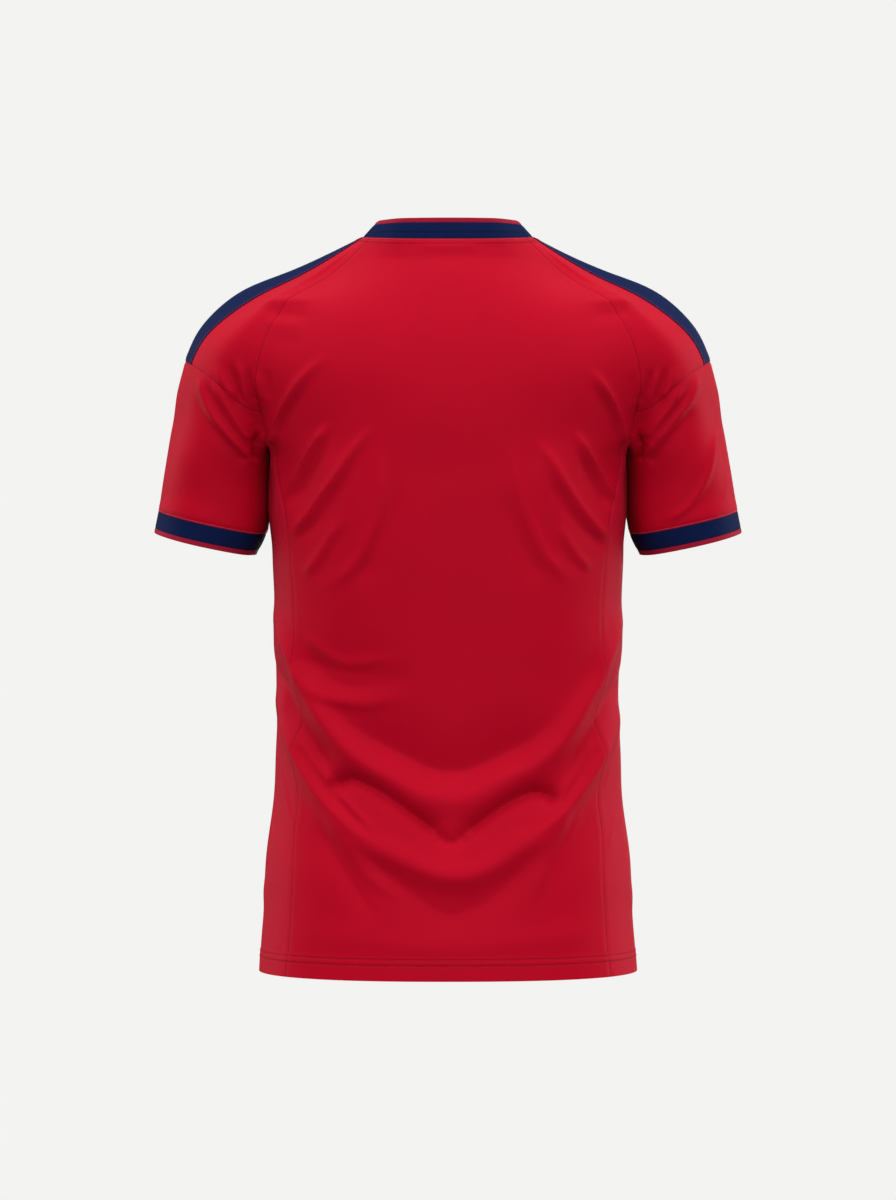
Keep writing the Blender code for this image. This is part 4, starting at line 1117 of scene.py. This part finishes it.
def cut_band(form, node):
    """A shoulder band: its panel's own points, moved out, with dents drawn along its edges."""
    cloth = bpy.context.scene.jersey_cloth
    chosen = form.numbers == form.panels.index(node)
    faces = form.faces[chosen]
    steps = seam_steps(form.points, faces, form.normals)
    lower = form.points + steps * cloth.seam_gap + form.normals * cloth.seam_gap / 2.0
    upper = lower + form.normals * cloth.band_thickness
    edge = form.points[shared_points(form, (node,), (node.replace("band", "panel"),))]
    marks = form.marks.copy()
    marks[:, 0] = distance_from(form.points, edge)
    return shell(f"{node}_cloth", upper, lower, faces, form.grain[chosen], marks)


def contour(form, chosen, values, level):
    """Lines on the chosen faces where the values pass the level: a list of (points, normals)."""
    faces = form.faces[chosen]
    below = values[faces] < level
    crossed = np.flatnonzero(below.any(axis=1) & ~below.all(axis=1))
    links = {}
    for quad in faces[crossed]:
        cuts = []
        for here, there in zip(quad, np.roll(quad, -1)):
            if (values[here] < level) != (values[there] < level):
                cuts.append((min(here, there), max(here, there)))
        for one, other in zip(cuts[::2], cuts[1::2]):
            links.setdefault(one, []).append(other)
            links.setdefault(other, []).append(one)
    lines = []
    unused = set(links)
    ends = [key for key in links if len(links[key]) == 1] + list(links)
    for first in ends:
        if first not in unused:
            continue
        chain = [first]
        unused.discard(first)
        while True:
            following = [key for key in links[chain[-1]] if key in unused]
            if not following:
                break
            chain.append(following[0])
            unused.discard(following[0])
        if first in links[chain[-1]] and len(chain) > 2:
            chain.append(first)
        here, there = np.array(chain).T
        share = ((level - values[here]) / (values[there] - values[here]))[:, None]
        lines.append((form.points[here] * (1 - share) + form.points[there] * share,
                      form.normals[here] * (1 - share) + form.normals[there] * share))
    if not lines:
        raise RuntimeError("There is no cloth to sew at this distance from the seam.")
    return lines


def stitch_rings(path, normals, pitch, length, thread):
    """Ring points of each stitch along a path, as (stitches, rings, sides, 3)."""
    reach = np.concatenate(([0.0], np.cumsum(np.linalg.norm(np.diff(path, axis=0), axis=1))))
    count = int((reach[-1] - length) / pitch)
    if count < 1:
        return np.empty((0, len(STITCH_SHARES), STITCH_SIDES, 3))
    starts = (reach[-1] - length) * np.arange(count + 1) / count
    places = starts[:, None] + length * STITCH_SHARES
    centre = np.stack([np.interp(places, reach, path[:, k]) for k in range(3)], axis=-1)
    normal = np.stack([np.interp(places, reach, normals[:, k]) for k in range(3)], axis=-1)
    normal /= np.linalg.norm(normal, axis=-1, keepdims=True)
    along = centre[:, -1:] - centre[:, :1]
    across = np.cross(along / np.linalg.norm(along, axis=-1, keepdims=True), normal)
    turn = np.arange(STITCH_SIDES) * 2.0 * np.pi / STITCH_SIDES
    centre = centre + normal * (STITCH_HEIGHTS * thread)[:, None]
    return (centre[:, :, None] + (STITCH_RADII * thread)[:, None, None] * (
        normal[:, :, None] * np.cos(turn)[:, None] + across[:, :, None] * np.sin(turn)[:, None]))


def sew(name, lines, pitch, length, thread, material, slot):
    """One object with all the stitches along the lines."""
    rings = np.concatenate([stitch_rings(path, normals, pitch, length, thread)
                            for path, normals in lines])
    count, levels, sides = rings.shape[:3]
    number, walls = ring_faces(levels, sides)
    faces = []
    for base in np.arange(count) * levels * sides:
        faces += (walls + base).tolist()
        faces.append((number[0, ::-1] + base).tolist())
        faces.append((number[-1] + base).tolist())
    piece = new_object(name, rings.reshape(-1, 3).tolist(), faces)
    piece.data.materials.append(material)
    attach(piece, "root")
    return piece


# ---------------------------------------------------------------- materials
# A knit's look. across, up: size of one staggered stitch or hole in metres. relief: its height.
# shade: painted shade, how much darker its hollows are painted; with the tops' painted
# highlight it also draws the knit's pattern. fleck: size of the yarn's own unevenness.
Knit = namedtuple("Knit", "across up relief shade fleck roughness sheen specular")
JERSEY_KNIT = Knit(0.0017, 0.0013, 0.00008, 0.14, 0.0011, 0.58, 0.02, 0.045)
MESH_KNIT = Knit(0.0021, 0.0019, 0.00020, 0.45, 0.0011, 0.60, 0.03, 0.045)
RIB_KNIT = Knit(0.0027, 0.0027, 0.00020, 0.85, 0.0012, 0.62, 0.01, 0.03)
BAND_KNIT = Knit(0.0027, 0.0027, 0.00016, 0.60, 0.0012, 0.62, 0.02, 0.05)
EDGING_KNIT = Knit(0.0013, 0.0015, 0.00010, 0.22, 0.0009, 0.62, 0.03, 0.05)
# The stitches' hollows get painted shade and their tops a painted highlight; together they draw the
# knit's pattern.
YARN_SHARE = 0.35            # of a knit's relief and shade; its stitches make the rest
PAINTED_TOP_HIGHLIGHT = 0.6               # the tops lighten by this share of what the hollows darken
HOLLOW_ROUGHNESS = 0.08      # more in the hollows
TOP_POLISH = 0.04            # and less on the tops
SHEEN_ROUGHNESS = 0.45
SHEEN_GREY = 0.30            # the sheen's tint: this much grey
SHEEN_COLOUR = 0.60          # and this share of the cloth's colour
BLOTCH_SCALE = 28.0          # soft darker patches to the metre
BLOTCH_RANGE = (0.3, 0.7)    # noise values over which a patch grows
BLOTCH_STRENGTH = 0.10       # how far it goes, at most, towards its shade of the cloth's colour
BLOTCH_SHADE = 0.55

# A dent drawn into the cloth at sub-stitch width: the distance it follows and where, its half
# width, its depth and how far painted shade in its groove darkens the cloth towards the dent's
# shade.
Dent = namedtuple("Dent", "mark place reach depth shade")
DENT_SHADE = 0.25
DENTS = (
    Dent("from_seam", 0.0, 0.0009, 0.0002, 0.32),
    Dent("from_neck", NECK_TOPSTITCH, 0.0014, 0.0004, 0.15),
    Dent("above_hem", HEM_LINES[0], 0.0018, 0.0004, 0.15),
    Dent("above_hem", HEM_LINES[1], 0.0018, 0.0004, 0.15),
)
# The nodes that a new material already has.
MATERIAL_ENDS = ("ShaderNodeBsdfPrincipled", "ShaderNodeOutputMaterial")


class Nodes:
    """Adds nodes to a material's tree and links them."""

    def __init__(self, name):
        self.material = bpy.data.materials.get(name) or bpy.data.materials.new(name)
        self.material.use_nodes = True
        self.tree = self.material.node_tree
        for node in [n for n in self.tree.nodes if n.bl_idname not in MATERIAL_ENDS]:
            self.tree.nodes.remove(node)
        self.inputs = self.tree.nodes["Principled BSDF"].inputs

    def add(self, kind, inputs=(), **settings):
        """A new node, its settings, and its inputs as values or as other nodes' outputs."""
        node = self.tree.nodes.new(kind)
        for name, value in settings.items():
            setattr(node, name, value)
        for place, value in dict(inputs).items():
            self.feed(node.inputs[place], value)
        return node

    def feed(self, socket, value):
        """Link an output to a socket, or set its value."""
        if isinstance(value, bpy.types.NodeSocket):
            self.tree.links.new(value, socket)
        else:
            socket.default_value = value

    def maths(self, operation, *values):
        """The output of one Math node."""
        return self.add("ShaderNodeMath", enumerate(values), operation=operation).outputs[0]

    def blend(self, share, first, second):
        """The colour that lies between two colours by a share."""
        return self.add("ShaderNodeMix", {0: share, 6: first, 7: second},
                        data_type="RGBA").outputs[2]

    def ranged(self, value, *limits, **settings):
        """A value moved from one range (first two limits) to another (last two)."""
        return self.add("ShaderNodeMapRange", {0: value, **dict(enumerate(limits, start=1))},
                        **settings).outputs[0]


def scaled_colour(colour, factor):
    """A colour made lighter or darker, with full opacity."""
    return tuple(min(channel * factor, 1.0) for channel in colour) + (1.0,)


def knit_material(name, colour, knit):
    """Knitted polyester: staggered stitches or holes with painted shade in their hollows and
    painted highlight on their tops, uneven yarn, seam dents with painted shade, and a soft sheen.
    """
    nodes = Nodes(name)
    grain = nodes.add("ShaderNodeUVMap", uv_map="grain").outputs[0]
    split = nodes.add("ShaderNodeSeparateXYZ", {0: grain})
    waves = [nodes.maths("SINE", nodes.maths("MULTIPLY", split.outputs[axis], 2.0 * np.pi / size))
             for axis, size in enumerate((knit.across, knit.up))]
    stitch = nodes.maths("MULTIPLY_ADD", nodes.maths("MULTIPLY", *waves), 0.5, 0.5)
    place = nodes.add("ShaderNodeTexCoord").outputs["Object"]
    yarn = nodes.add("ShaderNodeTexNoise", {"Vector": place, "Scale": 1.0 / knit.fleck,
                                            "Detail": 2.0}).outputs[0]
    blotch = nodes.add("ShaderNodeTexNoise", {"Vector": place, "Scale": BLOTCH_SCALE,
                                              "Detail": 4.0, "Roughness": 0.6}).outputs[0]
    level = nodes.maths("MULTIPLY_ADD", yarn, YARN_SHARE,
                        nodes.maths("MULTIPLY", stitch, 1.0 - YARN_SHARE))
    # painted shade in the stitches' hollows, painted highlight on their tops
    tone = nodes.blend(level, scaled_colour(colour, 1.0 - knit.shade),
                       scaled_colour(colour, 1.0 + knit.shade * PAINTED_TOP_HIGHLIGHT))
    tone = nodes.blend(nodes.ranged(blotch, *BLOTCH_RANGE, 0.0, BLOTCH_STRENGTH), tone,
                       scaled_colour(colour, BLOTCH_SHADE))
    height = nodes.maths("MULTIPLY", level, knit.relief)
    for dent in DENTS:
        distance = nodes.add("ShaderNodeAttribute", attribute_name=dent.mark).outputs["Fac"]
        away = nodes.maths("ABSOLUTE", nodes.maths("SUBTRACT", distance, dent.place))
        depth = nodes.ranged(away, 0.0, dent.reach, 1.0, 0.0, interpolation_type="SMOOTHSTEP")
        height = nodes.maths("MULTIPLY_ADD", depth, -dent.depth, height)
        # painted shade in the dent's groove
        tone = nodes.blend(nodes.maths("MULTIPLY", depth, dent.shade), tone,
                           scaled_colour(colour, DENT_SHADE))
    bump = nodes.add("ShaderNodeBump", {"Strength": 1.0, "Distance": 1.0, "Height": height})
    nodes.feed(nodes.inputs["Base Color"], tone)
    nodes.feed(nodes.inputs["Roughness"],
               nodes.ranged(level, 0.0, 1.0, knit.roughness + HOLLOW_ROUGHNESS,
                            knit.roughness - TOP_POLISH))
    nodes.feed(nodes.inputs["Normal"], bump.outputs[0])
    nodes.inputs["Specular IOR Level"].default_value = knit.specular
    nodes.inputs["Sheen Weight"].default_value = knit.sheen
    nodes.inputs["Sheen Roughness"].default_value = SHEEN_ROUGHNESS
    nodes.inputs["Sheen Tint"].default_value = sheen_tint(colour)
    return nodes.material


def sheen_tint(colour):
    """The sheen is a pale tint of the cloth's colour."""
    top = max(colour)
    return tuple(SHEEN_GREY + SHEEN_COLOUR * channel / top for channel in colour) + (1.0,)


# Polyester thread: the size of its twist, the twist's height, and its colour and roughness in the
# twist's hollows and on its tops. The colour there is painted shade and painted highlight.
TWIST_SCALE = 2400.0
TWIST_HEIGHT = 0.00006
TWIST_SHADE_AND_HIGHLIGHT = (0.75, 1.25)
THREAD_ROUGHNESS = (0.42, 0.62)


def thread_material(name, colour):
    """Twisted polyester thread, with painted shade in its twist's hollows and painted highlight on
    its tops.
    """
    nodes = Nodes(name)
    place = nodes.add("ShaderNodeTexCoord").outputs["Object"]
    twist = nodes.add("ShaderNodeTexNoise", {"Vector": place, "Scale": TWIST_SCALE,
                                             "Detail": 1.0}).outputs[0]
    bump = nodes.add("ShaderNodeBump", {"Strength": 0.6, "Distance": TWIST_HEIGHT,
                                        "Height": twist})
    nodes.feed(nodes.inputs["Base Color"],
               nodes.blend(twist, *(scaled_colour(colour, tint) for tint in TWIST_SHADE_AND_HIGHLIGHT)))
    nodes.feed(nodes.inputs["Roughness"], nodes.ranged(twist, 0.0, 1.0, *THREAD_ROUGHNESS))
    nodes.feed(nodes.inputs["Normal"], bump.outputs[0])
    nodes.inputs["Specular IOR Level"].default_value = 0.35
    return nodes.material


def stage_material(name, colour, strength):
    """The pale, shadowless surround."""
    material = bpy.data.materials.get(name) or bpy.data.materials.new(name)
    material.use_nodes = True
    shader = material.node_tree.nodes["Principled BSDF"]
    shader.inputs["Base Color"].default_value = (0.0, 0.0, 0.0, 1.0)
    shader.inputs["Specular IOR Level"].default_value = 0.0
    shader.inputs["Emission Color"].default_value = (*colour, 1.0)
    shader.inputs["Emission Strength"].default_value = strength
    return material


# ---------------------------------------------------------------- pieces
# A cloth's slot in the record, the setting with its colour, and its knit.
Cloth = namedtuple("Cloth", "slot colour knit")
CLOTHS = {
    "jersey_knit": Cloth("knit_red", "body", JERSEY_KNIT),
    "side_mesh": Cloth("mesh_red", "sides", MESH_KNIT),
    "rib": Cloth("rib_navy", "trim", RIB_KNIT),
    "edging": Cloth("edging_red", "edging", EDGING_KNIT),
    "band_knit": Cloth("band_navy", "trim", BAND_KNIT),
}
# A piece's node and cloth, its flat cut (width, length), the cut's area, how it is held and what
# it hangs from.
Cut = namedtuple("Cut", "node cloth width length area held rests_on")
BODY_CUTS = (
    Cut("back_panel", "jersey_knit", 0.40, 0.72, 0.235, "hung", ("shoulder_panel", "collar_band")),
    Cut("front_panel", "jersey_knit", 0.385, 0.68, 0.230, "hung",
        ("shoulder_panel", "collar_band")),
    Cut("side_panel", "side_mesh", 0.155, 0.52, 0.067, "hung", ("sleeve", "back_panel")),
)
SLEEVE_CUTS = (
    Cut("shoulder_panel", "jersey_knit", 0.22, 0.24, 0.037, "hung", ("collar_band",)),
    Cut("sleeve", "jersey_knit", 0.385, 0.17, 0.045, "hung", ("shoulder_panel",)),
)
BAND_CUTS = (
    Cut("shoulder_band", "band_knit", 0.087, 0.22, 0.0152, "laid", ("shoulder_panel",)),
)
COLLAR_CUTS = (
    Cut("collar_band", "rib", 0.46, 0.0155, None, "stretched", ("shoulder_panel",)),
    Cut("collar_edge", "edging", 0.42, 0.010, 0.0020, "folded", ("collar_band",)),
)
CUFF_CUTS = (
    Cut("cuff", "rib", 0.34, 0.016, None, "hung", ("sleeve",)),
    Cut("cuff_edge", "edging", 0.34, 0.010, 0.0018, "folded", ("cuff",)),
)
LONE = ("back_panel", "front_panel", "collar_band", "collar_edge")


def full_names(name, sides=("left", "right")):
    """A lone piece's own name, or the names of a pair on the given sides."""
    return [name] if name in LONE else [f"{name}_{side}" for side in sides]


def make_pieces(cuts, cutter=cut_panel):
    """Cut and finish all the pieces of the given cuts."""
    form = current_form()
    for cut in cuts:
        cloth = CLOTHS[cut.cloth]
        colour = getattr(bpy.context.scene.jersey_colours, cloth.colour)
        material = knit_material(cut.cloth, colour, cloth.knit)
        for node in full_names(cut.node):
            piece = cutter(form, node)
            piece.data.materials.append(material)
            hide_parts(node)
            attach(piece, "root")


class JERSEY_OT_body(bpy.types.Operator):
    """Makes the back, the front and the mesh side panels"""
    bl_idname = "jersey.body"
    bl_label = "Body panels"

    def execute(self, context):
        make_pieces(BODY_CUTS)
        return {"FINISHED"}


class JERSEY_OT_sleeves(bpy.types.Operator):
    """Makes the shoulder panels and the sleeves"""
    bl_idname = "jersey.sleeves"
    bl_label = "Shoulders and sleeves"

    def execute(self, context):
        make_pieces(SLEEVE_CUTS)
        return {"FINISHED"}


class JERSEY_OT_bands(bpy.types.Operator):
    """Makes the plain bands that lie along the shoulders"""
    bl_idname = "jersey.bands"
    bl_label = "Shoulder bands"

    def execute(self, context):
        make_pieces(BAND_CUTS, cut_band)
        return {"FINISHED"}


class JERSEY_OT_collar(bpy.types.Operator):
    """Makes the rib collar and its edging"""
    bl_idname = "jersey.collar"
    bl_label = "Collar"

    def execute(self, context):
        make_pieces(COLLAR_CUTS)
        return {"FINISHED"}


class JERSEY_OT_cuffs(bpy.types.Operator):
    """Makes the rib cuffs and their edgings"""
    bl_idname = "jersey.cuffs"
    bl_label = "Cuffs"

    def execute(self, context):
        make_pieces(CUFF_CUTS)
        return {"FINISHED"}


class JERSEY_OT_stitching(bpy.types.Operator):
    """Sews the hem, the neck, the bands' edges and the collar and cuff seams"""
    bl_idname = "jersey.stitching"
    bl_label = "Stitching"

    def execute(self, context):
        form = current_form()
        stitches = context.scene.jersey_stitches
        cloth = context.scene.jersey_cloth
        plain = (stitches.pitch, stitches.length, stitches.thread)
        dense = (stitches.pitch * DENSE_PITCH, stitches.length * DENSE_LENGTH, stitches.thread)
        colours = context.scene.jersey_colours
        red = thread_material("thread", colours.thread)
        pale = thread_material("seam_thread", colours.seam_thread)
        band = in_panels(form, ("shoulder_band",))
        rise = np.zeros(len(form.points))
        rise[form.faces[band]] = cloth.seam_gap / 2.0 + cloth.band_thickness
        raised = form._replace(points=form.points + form.normals * rise[:, None])
        body = in_panels(form, ("back", "front", "side"))
        hem = form.points[:, 2] - TORSO[-1].z
        lines = [line for place in HEM_LINES for line in contour(form, body, hem, place)]
        sew("hem_stitches", lines, *plain, red, "knit_red")
        collar = in_panels(form, ("collar",))
        from_neck = distance_from(form.points, form.points[neck_points(form)])
        lines = contour(raised, ~collar, from_neck, NECK_TOPSTITCH)
        sew("neck_stitches", lines, *plain, red, "knit_red")
        lines = contour(raised, ~collar, from_neck, SEAM_LINE)
        for side in ("left", "right"):
            sleeve = in_panels(form, (f"sleeve_{side}",))
            seam = form.points[shared_points(form, (f"sleeve_{side}",), (f"cuff_{side}",))]
            lines += contour(form, sleeve, distance_from(form.points, seam), SEAM_LINE)
        # the dense pale stitches here are a painted highlight of the rolled seam edge
        sew("seam_stitches", lines, *dense, pale, "edging_red")
        edges = form.points[shared_points(form, ("shoulder_band",), ("shoulder_panel",))]
        lines = contour(raised, band, distance_from(form.points, edges), BAND_TOPSTITCH)
        sew("band_stitches", lines, *plain, red, "edging_red")
        return {"FINISHED"}


# setting: the studio's setting that holds the lamp's power. share: of that power.
Lamp = namedtuple("Lamp", "name place width height setting share")
LAMPS = (
    Lamp("back_fill", (0.5, -3.3, -0.1), 1.6, 1.6, "fill_power", 1.0),
    Lamp("front_fill", (0.5, 3.3, -0.1), 1.6, 1.6, "fill_power", 1.0),
    Lamp("strip_left", (-1.9, 0.9, -0.2), 0.9, 2.2, "strip_power", 0.7),
    Lamp("strip_right", (1.9, 0.9, -0.2), 0.9, 2.2, "strip_power", 1.0),
)
LAMP_AIM = Vector((0.0, 0.0, -0.35))     # the jersey's middle
CAMERA_SENSOR = 36.0                     # millimetres
SKY_COLOUR = (1.0, 0.995, 0.985, 1.0)
SURROUND_COLOUR = (1.0, 1.0, 0.983)
FLOOR_RADIUS = 5.0
WALL_CURVE = 3.0                         # radius of the curve from the floor to the wall
WALL_HEIGHTS = (6.0, 10.0)               # of the wall's middle and top above the floor
CURVE_STEPS = 12
SURROUND_SIDES = 96


class JERSEY_OT_stage(bpy.types.Operator):
    """Sets up the camera, the soft lights and the pale surround"""
    bl_idname = "jersey.stage"
    bl_label = "Studio"

    def execute(self, context):
        studio = context.scene.jersey_studio
        camera = bpy.data.objects.new("camera", bpy.data.cameras.new("camera"))
        camera.data.sensor_width = CAMERA_SENSOR
        camera.data.lens = studio.lens
        camera.location = (0.0, -studio.distance, studio.height)
        camera.rotation_euler = (np.pi / 2.0, 0.0, 0.0)
        context.scene.collection.objects.link(camera)
        context.scene.camera = camera
        for lamp in LAMPS:
            light = bpy.data.lights.new(lamp.name, "AREA")
            light.shape = "RECTANGLE"
            light.size, light.size_y = lamp.width, lamp.height
            light.energy = getattr(studio, lamp.setting) * lamp.share
            holder = bpy.data.objects.new(lamp.name, light)
            holder.location = lamp.place
            aim = LAMP_AIM - holder.location
            holder.rotation_euler = aim.to_track_quat("-Z", "Y").to_euler()
            context.scene.collection.objects.link(holder)
        soft_sky(context.scene, studio)
        context.scene.view_settings.view_transform = "Standard"
        surround(studio)
        return {"FINISHED"}


def soft_sky(scene, studio):
    """Even light from all round, and more of it from above. It gives no mirror images."""
    world = bpy.data.worlds.new("sky")
    scene.world = world                  # first: cycles_visibility updates the scene's world
    world.use_nodes = True
    tree = world.node_tree
    way = tree.nodes.new("ShaderNodeTexCoord").outputs["Generated"]
    split = tree.nodes.new("ShaderNodeSeparateXYZ")
    above = tree.nodes.new("ShaderNodeMapRange")
    tree.links.new(way, split.inputs[0])
    tree.links.new(split.outputs[2], above.inputs[0])
    above.inputs[3].default_value = studio.ambient
    above.inputs[4].default_value = studio.ambient + studio.sky
    tree.links.new(above.outputs[0], tree.nodes["Background"].inputs["Strength"])
    tree.nodes["Background"].inputs["Color"].default_value = SKY_COLOUR
    world.cycles_visibility.glossy = False


def surround(studio):
    """A round floor that curves up into a wall, seen by the camera only."""
    profile = [(share * FLOOR_RADIUS, 0.0) for share in (0.0, 0.5, 1.0)]
    profile += [(FLOOR_RADIUS + WALL_CURVE * np.sin(a), WALL_CURVE - WALL_CURVE * np.cos(a))
                for a in np.linspace(0.0, np.pi / 2.0, CURVE_STEPS + 1)[1:]]
    profile += [(FLOOR_RADIUS + WALL_CURVE, height) for height in WALL_HEIGHTS]
    angle = np.arange(SURROUND_SIDES) * 2.0 * np.pi / SURROUND_SIDES
    points = [(radius * np.cos(a), radius * np.sin(a), studio.floor_height + height)
              for radius, height in profile for a in angle]
    faces = ring_faces(len(profile), SURROUND_SIDES)[1]
    bowl = new_object("studio_bowl", points, faces.tolist())
    bowl.data.materials.append(stage_material("studio_white", SURROUND_COLOUR, studio.surround))
    bowl.visible_diffuse = False
    bowl.visible_glossy = False
    bowl.visible_shadow = False
    return bowl


class JERSEY_PT_panel(bpy.types.Panel):
    """Makes the jersey piece by piece"""
    bl_idname = "JERSEY_PT_panel"
    bl_label = "Football jersey"
    bl_space_type = "VIEW_3D"
    bl_region_type = "UI"
    bl_category = "Jersey"

    def draw(self, context):
        for name in GROUPS:
            box = self.layout.box()
            group = getattr(context.scene, name)
            for setting in group.bl_rna.properties:
                if not setting.is_readonly and setting.identifier != "name":
                    box.prop(group, setting.identifier)
        for operator in OPERATORS:
            self.layout.operator(operator.bl_idname)


GROUPS = {"jersey_cloth": JerseyCloth, "jersey_colours": JerseyColours,
          "jersey_stitches": JerseyStitches, "jersey_studio": JerseyStudio}
OPERATORS = (JERSEY_OT_body, JERSEY_OT_sleeves, JERSEY_OT_bands, JERSEY_OT_collar,
             JERSEY_OT_cuffs, JERSEY_OT_stitching, JERSEY_OT_stage)


def register():
    """Make the settings, the operators and the panel known to Blender."""
    for name, group in GROUPS.items():
        bpy.utils.register_class(group)
        setattr(bpy.types.Scene, name, PointerProperty(type=group))
    for made in (*OPERATORS, JERSEY_PT_panel):
        bpy.utils.register_class(made)


def unregister():
    """Take them away again."""
    for made in (JERSEY_PT_panel, *reversed(OPERATORS)):
        bpy.utils.unregister_class(made)
    for name, group in reversed(GROUPS.items()):
        delattr(bpy.types.Scene, name)
        bpy.utils.unregister_class(group)


def main():
    """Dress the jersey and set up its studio."""
    register()
    for operator in OPERATORS:
        group, name = operator.bl_idname.split(".")
        if getattr(getattr(bpy.ops, group), name)() != {"FINISHED"}:
            raise RuntimeError(f"{operator.bl_label} could not be made.")


if __name__ == "__main__":
    main()
